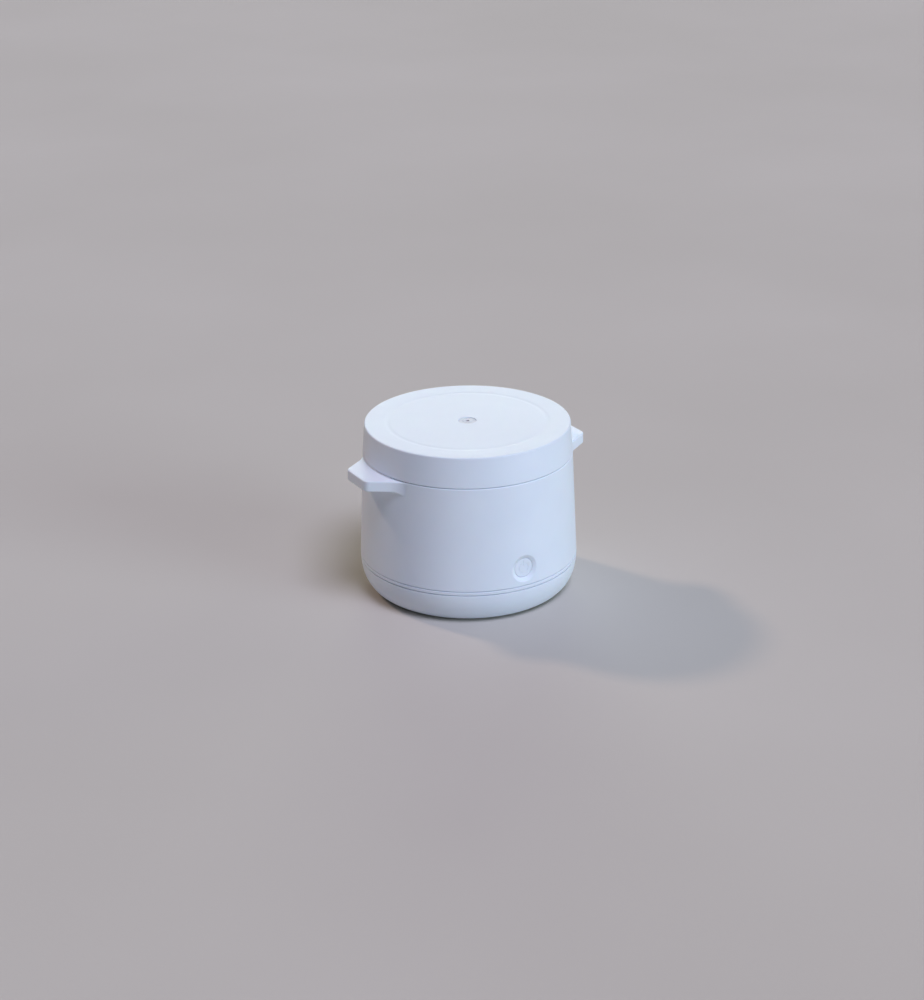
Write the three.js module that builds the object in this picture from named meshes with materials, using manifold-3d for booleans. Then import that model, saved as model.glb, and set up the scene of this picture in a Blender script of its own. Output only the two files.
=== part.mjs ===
// Baby food warmer: a round cordless warming pot with a push-on lid and two flat ears.
// Lengths are in millimetres and +Z is up. The button faces -Y and the ears lie along X.
// The origin is the centre of the base, on the surface that the warmer stands on.

import * as THREE from 'three';
import { mergeVertices } from 'three/addons/utils/BufferGeometryUtils.js';
import Module from 'manifold-3d';

const wasm = await Module();
wasm.setup();

// Outside form, from the floor up
const footLift = 1.0;
const baseHeight = 17.2;
const trimHeight = 1.66;
const bodyHeight = 59.95;
const lidHeight = 17.1;
const groove = 0.5;
const seamGap = 0.5;

// Outside form, across
const seamRadius = 59.34;
const bodyDraft = 2.56;
const lidDraft = 1.34;
const baseTurn = 12.4;
const turnRise = 1.5;
const turnPower = 2.15;

// Gaps that the assembly keeps
const seat = 0.3;
const lidSlip = 0.7;
const bowlSlip = 0.5;

// What a cutting tool runs past a face, and how close two corners are before they count as one
const overrun = 2.0;
const weld = 0.0001;

// Walls of the shells
const lidPlate = 2.2;
const skirtWall = 2.34;
const neckWall = 2.0;
const bodyWall = 2.4;
const baseFloor = 2.4;
const wellWall = 1.5;
const bowlWall = 0.8;

// Facets of a full turn
const shellSides = 40;
const innerSides = 24;
const middleSides = 20;
const smallSides = 12;
const screwSides = 8;

// Heights of the outside pieces
const baseBottom = footLift;
const baseTop = baseBottom + baseHeight;
const trimBottom = baseTop + groove;
const trimTop = trimBottom + trimHeight;
const bodyBottom = trimTop + groove;
const bodyTop = bodyBottom + bodyHeight;
const lidBottom = bodyTop + seamGap;
const lidTop = lidBottom + lidHeight;

// Radii of the outside pieces, and of what nests inside them at the neck
const footRadius = seamRadius + bodyDraft;
const lidTopRadius = seamRadius - lidDraft;
const skirtInner = seamRadius - skirtWall;
const neckOuter = skirtInner - lidSlip;
const neckInner = neckOuter - neckWall;
const wellOuter = neckInner - seat;
const wellInner = wellOuter - wellWall;
const bowlOuter = wellInner - bowlSlip;
const bowlInner = bowlOuter - bowlWall;

function bodyRadiusAt(height) {
  return seamRadius + (bodyDraft * (bodyTop - height)) / bodyHeight;
}

function lidRadiusAt(height) {
  return seamRadius - (lidDraft * (height - lidBottom)) / lidHeight;
}

// Stack of flanges under the lid, from the top down
const linerFlange = 0.8;
const gasketFlange = 1.2;
const lidInner = lidTop - lidPlate;
const linerTop = lidInner - seat;
const linerFlangeBottom = linerTop - linerFlange;
const gasketTop = linerFlangeBottom - seat;
const gasketFlangeBottom = gasketTop - gasketFlange;
const bowlRimTop = gasketFlangeBottom - seat;
const bowlRimBottom = bowlRimTop - bowlWall;
const wellLipTop = bowlRimBottom - seat;
const wellLipBottom = wellLipTop - wellWall;
const neckTop = wellLipBottom - seat;

// Battery, board and heater stack, from the floor of the base up
const cellRadius = 9.2;
const cradleFloor = 1.2;
const boardRoom = 1.4;
const boardThickness = 1.6;
const componentRoom = 3.4;
const bracketThickness = 1.0;
const feltThickness = 4.0;
const filmThickness = 0.6;
const plateFlange = 2.0;
const sealThickness = 0.8;
const wellFloor = 2.0;
const plateProud = 0.3;
const bowlRoom = 0.4;
const floorTop = baseBottom + baseFloor;
const cradleBottom = floorTop + seat;
const cellAxis = cradleBottom + cradleFloor + seat + cellRadius;
const boardBottom = cellAxis + cellRadius + boardRoom;
const boardTop = boardBottom + boardThickness;
const bracketBottom = boardTop + componentRoom;
const bracketTop = bracketBottom + bracketThickness;
const feltBottom = bracketTop + seat;
const feltTop = feltBottom + feltThickness;
const filmBottom = feltTop + seat;
const filmTop = filmBottom + filmThickness;
const plateBottom = filmTop + seat;
const plateFlangeTop = plateBottom + plateFlange;
const sealBottom = plateFlangeTop + seat;
const sealTop = sealBottom + sealThickness;
const wellFloorBottom = sealTop + seat;
const wellFloorTop = wellFloorBottom + wellFloor;
const plateTop = wellFloorTop + plateProud;
const bowlBottom = plateTop + bowlRoom;
const bowlFloorTop = bowlBottom + bowlWall;

// Heater stack, across
const wellLedge = 18.8;
const plateLedge = 4.5;
const feltMargin = 1.8;
const clampBossRadius = 2.8;
const bracketMargin = 0.3;
const leadHole = 9.0;
const plateRadius = wellInner - wellLedge;
const plateFlangeRadius = plateRadius + plateLedge;
const feltRadius = plateFlangeRadius + feltMargin;
const clampCircle = feltRadius + seat + clampBossRadius;
const bracketRadius = clampCircle + clampBossRadius + bracketMargin;

// Battery cradle and board, across
const cellLength = 65.0;
const cellSpacing = 0.8;
const tabThickness = 0.4;
const cradleWall = 2.0;
const cradleRim = 1.4;
const boardPostRadius = 2.4;
const boardPostSpread = 15.0;
const boardEndMargin = 3.0;
const boardSideMargin = 4.0;
const cellPitch = 2 * cellRadius + cellSpacing;
const cradleHalfLength = cellLength / 2 + seat + tabThickness + seat;
const cradleHalfWidth = cellPitch + cellRadius + seat + cradleRim;
const boardPostX = cradleHalfLength + boardPostRadius;
const boardHalfLength = boardPostX + boardEndMargin;
const boardHalfWidth = boardPostSpread + boardSideMargin;

// Screws: radius and height of the head, radius of the shank, and its reach from the head
const baseScrew = { head: 2.7, height: 2.0, shank: 1.2, reach: 15.0 };
const boardScrew = { head: 1.9, height: 1.2, shank: 0.8, reach: 3.6 };
const clampScrew = { head: 2.2, height: 1.1, shank: 1.0, reach: 6.0 };
const cradleScrew = { head: 2.3, height: 1.4, shank: 0.9, reach: 5.2 };

// Posts of the base and bosses of the body, which the base screws join
const basePostRadius = 4.0;
const basePostGap = 4.7;
const basePostSpread = 22.5;
const basePostHeight = 10.6;
const basePostY = cradleHalfWidth + basePostGap + basePostRadius;
const basePostTop = floorTop + basePostHeight;

// Where the base plugs into the body
const registerDepth = 3.0;
const tongueInset = 2.1;
const tongueWall = 2.0;
const registerTop = bodyBottom + registerDepth;
const tongueTop = registerTop - seat;
const tongueOuter = footRadius - tongueInset;
const tongueInner = tongueOuter - tongueWall;
const registerRadius = tongueOuter + seat;

// Button
const buttonRise = 9.94;
const buttonRadius = 5.4;
const buttonBevel = 2.1;
const buttonRecess = 1.4;
const buttonPadDepth = 4.0;
const buttonCollar = 1.3;
const buttonCollarThickness = 1.2;
const buttonStemLength = 1.5;
const buttonTravel = 0.6;
const plungerLength = 0.8;
const switchDepth = 3.0;
const buttonHeight = bodyBottom + buttonRise;
const buttonWall = bodyRadiusAt(buttonHeight);
const buttonHole = buttonRadius + seat;
const collarFront = buttonPadDepth + seat;
const stemFront = collarFront + buttonCollarThickness;
const stemEnd = stemFront + buttonStemLength;
const plungerFront = stemEnd + buttonTravel + seat;
const switchFront = plungerFront + plungerLength;
const switchBack = switchFront + switchDepth;

// Small boards that slide into guides on the wall, behind the button and the inlet
const sideBoardThickness = 1.0;
const sideBoardHalf = 11.0;
const guideBite = 1.4;
const guideWall = 1.6;
const guideShelf = 1.0;
const guideInner = sideBoardHalf - guideBite;
const guideOuter = sideBoardHalf + seat + guideWall;
const guideBottom = registerTop + seat;

// Charging inlet and its flap
const portRise = 9.94;
const flapThickness = 1.3;
const flapInset = 0.8;
const flapHalfWidth = 7.0;
const flapHeight = 8.6;
const portPadDepth = 5.0;
const portPadMargin = 2.2;
const socketHalfWidth = 4.47;
const socketHalfHeight = 1.63;
const socketCorner = 1.3;
const socketDepth = 7.35;
const portHeight = bodyBottom + portRise;
const portWall = bodyRadiusAt(portHeight);
const flapRecess = flapInset + flapThickness + seat;
const flapAxisDepth = flapInset + flapThickness / 2;
const flapAxisHeight = portHeight - flapHeight / 2 + flapThickness / 2;
const socketFront = flapRecess + seat;
const socketBack = socketFront + socketDepth;

// A closed mesh as a manifold-3d solid
function solidFrom(geometry) {
  const bare = geometry.clone();
  bare.deleteAttribute('normal');
  bare.deleteAttribute('uv');
  const merged = mergeVertices(bare, weld);
  const mesh = new wasm.Mesh({
    numProp: 3,
    vertProperties: new Float32Array(merged.attributes.position.array),
    triVerts: new Uint32Array(merged.index.array),
  });
  return new wasm.Manifold(mesh);
}

function geometryFrom(solid) {
  const mesh = solid.getMesh();
  const geometry = new THREE.BufferGeometry();
  geometry.setAttribute('position', new THREE.BufferAttribute(mesh.vertProperties, 3));
  geometry.setIndex(new THREE.BufferAttribute(mesh.triVerts, 1));
  return geometry;
}

function join(first, ...others) {
  return geometryFrom(others.reduce((sum, other) => sum.add(solidFrom(other)), solidFrom(first)));
}

function cut(first, ...tools) {
  return geometryFrom(tools.reduce((rest, tool) => rest.subtract(solidFrom(tool)), solidFrom(first)));
}

function common(first, second) {
  return geometryFrom(solidFrom(first).intersect(solidFrom(second)));
}

// Points of an arc in a profile, angles in degrees from the radial direction towards +Z
function arc(centreR, centreZ, radius, fromAngle, toAngle, steps) {
  return ellipseArc(centreR, centreZ, radius, radius, fromAngle, toAngle, steps);
}

function ellipseArc(centreR, centreZ, halfWidth, halfHeight, fromAngle, toAngle, steps) {
  return Array.from({ length: steps + 1 }, (unused, i) => {
    const angle = THREE.MathUtils.degToRad(fromAngle + ((toAngle - fromAngle) * i) / steps);
    return [centreR + halfWidth * Math.cos(angle), centreZ + halfHeight * Math.sin(angle)];
  });
}

function signedArea(points) {
  return points.reduce((sum, [r, z], i) => {
    const [nextR, nextZ] = points[(i + 1) % points.length];
    return sum + (r * nextZ - nextR * z) / 2;
  }, 0);
}

// A profile of [radius, height] points turned about Z: it starts and ends on the axis, or closes on itself
function turned(profile, sides) {
  const outward = signedArea(profile) > 0 ? profile : [...profile].reverse();
  const closed = profile[0][0] === 0 ? outward : [...outward, outward[0]];
  const points = closed.map(([r, z]) => new THREE.Vector2(r, z));
  return new THREE.LatheGeometry(points, sides).rotateX(Math.PI / 2);
}

function disc(radius, bottom, top, sides, x = 0, y = 0) {
  const geometry = new THREE.CylinderGeometry(radius, radius, top - bottom, sides);
  return geometry.rotateX(Math.PI / 2).translate(x, y, (bottom + top) / 2);
}

function block(fromX, toX, fromY, toY, fromZ, toZ) {
  const geometry = new THREE.BoxGeometry(toX - fromX, toY - fromY, toZ - fromZ);
  return geometry.translate((fromX + toX) / 2, (fromY + toY) / 2, (fromZ + toZ) / 2);
}

// The same block on the +X or the -X side
function blockOn(side, fromX, toX, ...rest) {
  return side > 0 ? block(fromX, toX, ...rest) : block(-toX, -fromX, ...rest);
}

function roundedPlate(halfX, halfY, corner, bottom, top) {
  const shape = new THREE.Shape();
  shape.moveTo(halfX, corner - halfY);
  shape.absarc(halfX - corner, halfY - corner, corner, 0, Math.PI / 2, false);
  shape.absarc(corner - halfX, halfY - corner, corner, Math.PI / 2, Math.PI, false);
  shape.absarc(corner - halfX, corner - halfY, corner, Math.PI, Math.PI * 1.5, false);
  shape.absarc(halfX - corner, corner - halfY, corner, Math.PI * 1.5, Math.PI * 2, false);
  const options = { depth: top - bottom, bevelEnabled: false, curveSegments: 3 };
  return new THREE.ExtrudeGeometry(shape, options).translate(0, 0, bottom);
}

// Places on a circle, starting from an angle in degrees
function ring(count, radius, startAngle) {
  return Array.from({ length: count }, (unused, i) => {
    const angle = THREE.MathUtils.degToRad(startAngle) + (2 * Math.PI * i) / count;
    return { x: radius * Math.cos(angle), y: radius * Math.sin(angle) };
  });
}

function fourCorners(x, y) {
  return [[1, 1], [-1, 1], [-1, -1], [1, -1]].map(([sideX, sideY]) => ({ x: sideX * x, y: sideY * y }));
}

// Turns a piece made on the Z axis, outward up, to face the front or the back of the wall
function facingFront(geometry, wall, height) {
  return geometry.rotateX(Math.PI / 2).translate(0, -wall, height);
}

function facingBack(geometry, wall, height) {
  return geometry.rotateX(-Math.PI / 2).translate(0, wall, height);
}

// A screw whose head bears at height zero, with its shank up
function screw(size) {
  const crownShare = 0.8;
  return turned(
    [
      [0, -size.height],
      [size.head * crownShare, -size.height],
      [size.head, 0],
      [size.shank, 0],
      [size.shank, size.reach],
      [0, size.reach],
    ],
    screwSides,
  );
}

// Lid

const ventHole = 3.1;
const ventDimple = 5.0;
const ventDimpleDepth = 1.2;
const ventEdge = 0.3;
const lidEdge = 1.0;
const rimEdge = 0.3;
const beadDepth = 0.5;
const ringInset = 13.0;
const ringHalfWidth = 1.8;
const ringDepth = 0.35;

// Soft channel moulded round the top of the lid
function lidRing(steps) {
  const middle = lidTopRadius - ringInset;
  return Array.from({ length: steps + 1 }, (unused, i) => {
    const share = i / steps;
    const dip = (ringDepth * (1 - Math.cos(2 * Math.PI * share))) / 2;
    return [middle + ringHalfWidth * (1 - 2 * share), lidTop - dip];
  });
}

function lidShell() {
  const profile = [
    [ventHole, lidInner],
    [skirtInner, lidInner],
    [skirtInner, gasketTop],
    [skirtInner - beadDepth, gasketTop - beadDepth],
    [skirtInner, gasketTop - 2 * beadDepth],
    [skirtInner, lidBottom],
    [seamRadius - rimEdge, lidBottom],
    [lidRadiusAt(lidBottom + rimEdge), lidBottom + rimEdge],
    ...arc(lidTopRadius - lidEdge, lidTop - lidEdge, lidEdge, 0, 90, 2),
    ...lidRing(4),
    [ventDimple + ventEdge, lidTop],
    [ventDimple, lidTop - ventEdge],
    [ventDimple, lidTop - ventDimpleDepth],
    [ventHole, lidTop - ventDimpleDepth],
  ];
  return turned(profile, shellSides);
}

const linerSlip = 0.25;
const linerWall = 1.2;
const dishDepth = 4.6;
const dishBead = 0.6;
const gasketLipGap = 0.3;
const gasketLipReach = 0.7;
const gasketWall = 1.9;
const gasketLipHeight = 0.4;
const bowlRimInset = 0.7;
const gasketInset = 0.6;
const gasketLip = bowlInner - gasketLipGap;
const gasketOuter = gasketLip - gasketLipReach;
const gasketInner = gasketOuter - gasketWall;
const dishRadius = gasketInner - seat;
const dishBottom = linerFlangeBottom - dishDepth;
const bowlRimRadius = neckOuter - bowlRimInset;
const gasketBottom = dishBottom + gasketLipHeight + seat;

function lidLiner() {
  const profile = [
    [ventHole, dishBottom],
    [dishRadius + dishBead, dishBottom],
    [dishRadius, dishBottom + gasketLipHeight],
    [dishRadius, linerFlangeBottom],
    [skirtInner - linerSlip, linerFlangeBottom],
    [skirtInner - linerSlip, linerTop],
    [dishRadius - linerWall, linerTop],
    [dishRadius - linerWall, dishBottom + linerWall],
    [ventHole, dishBottom + linerWall],
  ];
  return turned(profile, innerSides);
}

function gasketLipAt(bottom) {
  return [
    [gasketOuter, bottom],
    [gasketLip, bottom + gasketLipHeight],
    [gasketOuter, bottom + 2 * gasketLipHeight],
  ];
}

// Two lips bear on the mouth of the bowl
function lidGasket() {
  const profile = [
    [gasketInner, gasketBottom],
    ...gasketLipAt(gasketBottom),
    ...gasketLipAt(gasketBottom + 3 * gasketLipHeight),
    [gasketOuter, gasketFlangeBottom],
    [bowlRimRadius - gasketInset, gasketFlangeBottom],
    [bowlRimRadius - gasketInset, gasketTop],
    [gasketInner, gasketTop],
  ];
  return turned(profile, innerSides);
}

const ventHeadRadius = 4.7;
const ventHeadThickness = 0.8;
const ventStemRadius = 2.8;
const ventBore = 1.1;
const ventReach = 0.4;
const ventHeadBottom = lidTop - ventDimpleDepth + seat;

function ventPlug() {
  const headTop = ventHeadBottom + ventHeadThickness;
  const profile = [
    [ventBore, dishBottom - ventReach],
    [ventStemRadius, dishBottom - ventReach],
    [ventStemRadius, ventHeadBottom],
    [ventHeadRadius, ventHeadBottom],
    [ventHeadRadius, headTop - ventEdge],
    [ventHeadRadius - ventEdge, headTop],
    [ventBore + ventEdge, headTop],
    [ventBore, headTop - ventEdge],
  ];
  return turned(profile, smallSides);
}

// Ears: flat plates that flare into the wall with a fillet in plan and another underneath

const earThickness = 5.8;
const earDrop = 0.6;
const earReach = 12.2;
const earTipHalf = 10.6;
const earFlare = 34;
const earCorner = 3.0;
const earRootFillet = 10.0;
const earUnderFillet = 3.0;
const earEdge = 0.5;
const earTop = bodyTop - earDrop;
const earBottom = earTop - earThickness;
const earWall = bodyRadiusAt(earTop);
const earTip = earWall + earReach;

// Half of the ear's outline in plan, from the middle of its tip to its root inside the wall
function earHalfOutline() {
  const flare = THREE.MathUtils.degToRad(earFlare);
  const normal = new THREE.Vector2(Math.sin(flare), Math.cos(flare));
  const along = new THREE.Vector2(-Math.cos(flare), Math.sin(flare));
  const cornerY = earTipHalf - (earCorner * (1 - Math.sin(flare))) / Math.cos(flare);
  const offset = normal.x * earTip + normal.y * earTipHalf + earRootFillet;
  const run = Math.sqrt((earWall + earRootFillet) ** 2 - offset ** 2);
  const centre = normal.clone().multiplyScalar(offset).addScaledVector(along, -run);
  const rootAngle = THREE.MathUtils.radToDeg(centre.angle());
  const embedded = earWall - bodyWall / 2;
  return [
    ...arc(earTip - earCorner, cornerY, earCorner, 0, 90 - earFlare, 3),
    ...arc(centre.x, centre.y, earRootFillet, 270 - earFlare, 180 + rootAngle, 4),
    ...arc(0, 0, embedded, rootAngle, 0, 3),
  ];
}

function earOutline() {
  const half = earHalfOutline();
  const mirrored = half.slice(0, -1).reverse().map(([x, y]) => [x, -y]);
  return new THREE.Shape([...half, ...mirrored].map(([x, y]) => new THREE.Vector2(x, y)));
}

function ear() {
  const plate = new THREE.ExtrudeGeometry(earOutline(), {
    depth: earThickness - 2 * earEdge,
    bevelThickness: earEdge,
    bevelSize: earEdge,
    bevelOffset: -earEdge,
    bevelSegments: 1,
  });
  return plate.translate(0, 0, earBottom + earEdge);
}

// Ring with a hollow quarter-round under the ears, kept only where an ear covers it
function earFillets() {
  const bottom = earBottom - earUnderFillet;
  const top = earBottom + earEdge;
  const wall = bodyRadiusAt(bottom);
  const collar = turned(
    [
      [wall - bodyWall / 2, bottom],
      ...arc(wall + earUnderFillet, bottom, earUnderFillet, 180, 90, 4),
      [wall + earUnderFillet, top],
      [wall - bodyWall / 2, top],
    ],
    shellSides,
  );
  const prism = new THREE.ExtrudeGeometry(earOutline(), { depth: earThickness, bevelEnabled: false });
  prism.translate(0, 0, top - earThickness);
  return [common(collar, prism), common(collar, prism.clone().rotateZ(Math.PI))];
}

// Body

const bodyRimEdge = 0.7;
const neckEdge = 0.5;
const shoulder = 2.4;
const shoulderBottom = bodyTop - shoulder;
const bossRadius = 3.5;
const bossTop = bracketBottom - overrun;
const bossRib = 1.8;
const bossBottom = basePostTop + seat;
const pilotDepth = 9.0;
const buttonPadRadius = 8.5;

function bodyWalls() {
  return turned(
    [
      [registerRadius, bodyBottom],
      [footRadius - rimEdge, bodyBottom],
      [bodyRadiusAt(bodyBottom + rimEdge), bodyBottom + rimEdge],
      ...arc(seamRadius - bodyRimEdge, bodyTop - bodyRimEdge, bodyRimEdge, 0, 90, 2),
      [neckOuter, bodyTop],
      [neckOuter, neckTop - neckEdge],
      [neckOuter - neckEdge, neckTop],
      [neckInner, neckTop],
      [neckInner, shoulderBottom],
      [bodyRadiusAt(shoulderBottom) - bodyWall, shoulderBottom],
      [bodyRadiusAt(registerTop) - bodyWall, registerTop],
      [registerRadius, registerTop],
    ],
    shellSides,
  );
}

// A boss for a base screw, hung from the wall by a rib
function screwBoss({ x, y }) {
  const reach = Math.hypot(x, y);
  const wall = bodyRadiusAt(guideBottom) - bodyWall / 2;
  const rib = block(reach, wall, -bossRib / 2, bossRib / 2, guideBottom, bossTop);
  rib.rotateZ(Math.atan2(y, x));
  return join(disc(bossRadius, bossBottom, bossTop, smallSides, x, y), rib);
}

// Where a guide's outer end lies inside the wall, measured from the axis
function guideRoot(wall) {
  return Math.sqrt((wall - bodyWall / 2) ** 2 - guideOuter ** 2);
}

// Button board: it drops into two upright guides and stands on their shelves
const buttonBoardHeight = 12.0;
const guideBack = 2.0;
const buttonBoardFront = switchBack + seat;
const buttonBoardBack = buttonBoardFront + sideBoardThickness;
const buttonBoardBottom = guideBottom + guideShelf + seat;
const buttonBoardTop = buttonBoardBottom + buttonBoardHeight;

function buttonGuide(side) {
  const front = -guideRoot(buttonWall);
  const back = buttonBoardBack + guideBack - buttonWall;
  const guide = blockOn(side, guideInner, guideOuter, front, back, guideBottom, buttonBoardTop);
  const slot = blockOn(
    side,
    guideInner - overrun,
    sideBoardHalf + seat,
    buttonBoardFront - seat - buttonWall,
    buttonBoardBack + seat - buttonWall,
    guideBottom + guideShelf,
    buttonBoardTop + overrun,
  );
  return cut(guide, slot);
}

// Inlet board: it slides in level from the middle of the body, under the socket
const socketBoardFront = 6.0;
const socketBoardLength = 9.0;
const socketGuideRise = 2.0;
const socketBoardBack = socketBoardFront + socketBoardLength;
const socketBoardTop = portHeight - socketHalfHeight - seat;
const socketBoardBottom = socketBoardTop - sideBoardThickness;

function socketGuide(side) {
  const end = portWall - socketBoardBack;
  const top = socketBoardTop + socketGuideRise;
  const guide = blockOn(side, guideInner, guideOuter, end, guideRoot(portWall), guideBottom, top);
  const slot = blockOn(
    side,
    guideInner - overrun,
    sideBoardHalf + seat,
    end - overrun,
    portWall - socketBoardFront + seat,
    socketBoardBottom - seat,
    socketBoardTop + seat,
  );
  return cut(guide, slot);
}

// Dished recess round the button, with the hole that its cap slides in
function buttonOpening() {
  const flare = buttonBevel * (overrun / buttonRecess);
  return turned(
    [
      [0, -buttonPadDepth - overrun],
      [buttonHole, -buttonPadDepth - overrun],
      [buttonHole, -buttonRecess],
      [buttonHole + buttonBevel, 0],
      [buttonHole + buttonBevel + flare, overrun],
      [0, overrun],
    ],
    middleSides,
  );
}

const flapPinRadius = 0.35;
const flapPinLength = 0.7;
const flapPinRoom = 0.2;
const socketMargin = 0.3;
const notchRadius = 3.0;
const flapTop = portHeight + flapHeight / 2;

// Recess for the flap, the sockets for its pins, a thumb notch above it and the inlet's own opening
function portTools() {
  const half = flapHalfWidth + seat;
  const floor = portWall - flapRecess;
  const recessBottom = portHeight - flapHeight / 2 - seat;
  const recess = block(-half, half, floor, portWall + overrun, recessBottom, flapTop + seat);
  const pinEnd = flapHalfWidth + flapPinLength + flapPinRoom;
  const pins = disc(flapPinRadius + flapPinRoom, -pinEnd, pinEnd, screwSides).rotateY(Math.PI / 2);
  pins.translate(0, portWall - flapAxisDepth, flapAxisHeight);
  const notch = disc(notchRadius, -overrun, flapInset + flapThickness, smallSides).rotateX(Math.PI / 2);
  notch.translate(0, portWall, flapTop + seat);
  const inlet = roundedPlate(
    socketHalfWidth + socketMargin,
    socketHalfHeight + socketMargin,
    socketCorner + socketMargin,
    -portPadDepth - overrun,
    -flapRecess + overrun,
  );
  return [recess, pins, notch, facingBack(inlet, portWall, portHeight)];
}

function portPad() {
  const half = flapHalfWidth + flapPinLength + flapPinRoom + portPadMargin;
  const inner = portWall - portPadDepth;
  const outer = Math.sqrt((portWall - bodyWall / 2) ** 2 - half ** 2);
  const bottom = portHeight - flapHeight / 2 - portPadMargin;
  return block(-half, half, inner, outer, bottom, flapTop + portPadMargin);
}

// Flat pad inside the wall behind the button, cut off level above the tongue of the base
function buttonPad() {
  const pad = facingFront(
    disc(buttonPadRadius, -buttonPadDepth, -bodyWall / 2, middleSides),
    buttonWall,
    buttonHeight,
  );
  const half = buttonPadRadius + overrun;
  return cut(pad, block(-half, half, -buttonWall, 0, bodyBottom - overrun, guideBottom));
}

function bodyShell(basePosts) {
  const inside = [...basePosts.map(screwBoss), buttonPad(), portPad()];
  for (const side of [1, -1]) inside.push(buttonGuide(side), socketGuide(side));
  const whole = join(bodyWalls(), ear(), ear().rotateZ(Math.PI), ...earFillets(), ...inside);
  const pilots = basePosts.map(({ x, y }) =>
    disc(baseScrew.shank + seat, bossBottom - overrun, bossBottom + pilotDepth, screwSides, x, y),
  );
  return cut(whole, facingFront(buttonOpening(), buttonWall, buttonHeight), ...portTools(), ...pilots);
}

// Trim ring between the two grooves

const trimEdge = 0.25;
const trimLand = 0.9;

function trimRing() {
  const land = registerRadius + trimLand;
  return turned(
    [
      [registerRadius, baseTop + seat],
      [land, baseTop + seat],
      [land, trimBottom],
      [footRadius - trimEdge, trimBottom],
      [footRadius, trimBottom + trimEdge],
      [footRadius, trimTop - trimEdge],
      [footRadius - trimEdge, trimTop],
      [land, trimTop],
      [land, bodyBottom - seat],
      [registerRadius, bodyBottom - seat],
    ],
    shellSides,
  );
}

// Base

const padRadius = 6.0;
const padSink = 1.2;
const padInset = 19.9;
const padCircle = footRadius - padInset;
const padEdge = 0.4;
const padCount = 4;
const screwSink = 2.6;
const cradleBossRadius = 3.5;
const cradleBossHeight = 4.6;
const cradlePilot = 3.1;
const cradleLugReach = 4.0;
const cradleLugX = cradleHalfLength + cradleWall + cradleLugReach;
const cradleBossTop = floorTop + cradleBossHeight;
const baseScrewSeat = baseBottom + screwSink + baseScrew.height;
const turnCentre = baseTop + turnRise;

// A quarter superellipse that would touch the floor, cut off level at the underside
function baseOuter(steps) {
  const from = Math.asin((turnRise / turnCentre) ** (turnPower / 2));
  const to = Math.asin(((turnCentre - baseBottom) / turnCentre) ** (turnPower / 2));
  return Array.from({ length: steps + 1 }, (unused, i) => {
    const angle = from + ((to - from) * i) / steps;
    const across = Math.cos(angle) ** (2 / turnPower);
    const down = Math.sin(angle) ** (2 / turnPower);
    return [footRadius - baseTurn + baseTurn * across, turnCentre - turnCentre * down];
  });
}

function baseWalls() {
  const innerRadius = footRadius - baseTurn;
  return turned(
    [
      [0, floorTop],
      ...ellipseArc(innerRadius, turnCentre, tongueInner - innerRadius, turnCentre - floorTop, -90, 0, 3),
      [tongueInner, tongueTop],
      [tongueOuter - rimEdge, tongueTop],
      [tongueOuter, tongueTop - rimEdge],
      [tongueOuter, baseTop],
      ...baseOuter(6),
      [0, baseBottom],
    ],
    shellSides,
  );
}

function baseShell(basePosts, feet, cradleBosses) {
  const posts = basePosts.map(({ x, y }) =>
    disc(basePostRadius, floorTop - overrun / 2, basePostTop, smallSides, x, y),
  );
  const bosses = cradleBosses.map(({ x, y }) =>
    disc(cradleBossRadius, floorTop - overrun / 2, cradleBossTop, smallSides, x, y),
  );
  const holes = basePosts.flatMap(({ x, y }) => [
    disc(baseScrew.head + seat, baseBottom - overrun, baseScrewSeat + seat, smallSides, x, y),
    disc(baseScrew.shank + seat, baseBottom, basePostTop + overrun, screwSides, x, y),
  ]);
  const recesses = feet.map(({ x, y }) =>
    disc(padRadius + seat, baseBottom - overrun, baseBottom + padSink, smallSides, x, y),
  );
  const pilots = cradleBosses.map(({ x, y }) =>
    disc(cradleScrew.shank + seat, cradleBossTop - cradlePilot, cradleBossTop + overrun, screwSides, x, y),
  );
  return cut(join(baseWalls(), ...posts, ...bosses), ...holes, ...recesses, ...pilots);
}

function foot() {
  const top = baseBottom + padSink - seat;
  return turned(
    [
      [0, 0],
      [padRadius - padEdge, 0],
      [padRadius, padEdge],
      [padRadius, top],
      [0, top],
    ],
    smallSides,
  );
}

// Well and food bowl

const wellOuterFillet = 5.5;
const wellInnerFillet = 4.0;
const wellMouth = 0.8;
const clampPilot = 5.5;
const clampCount = 3;
const clampStart = 90;

function wellLiner(clampPlaces) {
  const walls = turned(
    [
      [plateRadius + seat, wellFloorBottom],
      ...arc(wellOuter - wellOuterFillet, wellFloorBottom + wellOuterFillet, wellOuterFillet, -90, 0, 2),
      [wellOuter, wellLipBottom],
      [neckOuter, wellLipBottom],
      [neckOuter, wellLipTop - neckEdge],
      [neckOuter - neckEdge, wellLipTop],
      [wellInner + wellMouth, wellLipTop],
      [wellInner, wellLipTop - wellMouth],
      ...arc(wellInner - wellInnerFillet, wellFloorTop + wellInnerFillet, wellInnerFillet, 0, -90, 2),
      [plateRadius + seat, wellFloorTop],
    ],
    innerSides,
  );
  const bosses = clampPlaces.map(({ x, y }) =>
    disc(clampBossRadius, bracketTop + seat, wellFloorBottom + wellFloor / 2, smallSides, x, y),
  );
  const pilots = clampPlaces.map(({ x, y }) =>
    disc(clampScrew.shank + seat, bracketTop, bracketTop + clampPilot, screwSides, x, y),
  );
  return cut(join(walls, ...bosses), ...pilots);
}

const bowlFillet = 7.0;
const bowlMouth = 1.2;
const bowlRimEdge = 0.25;

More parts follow.
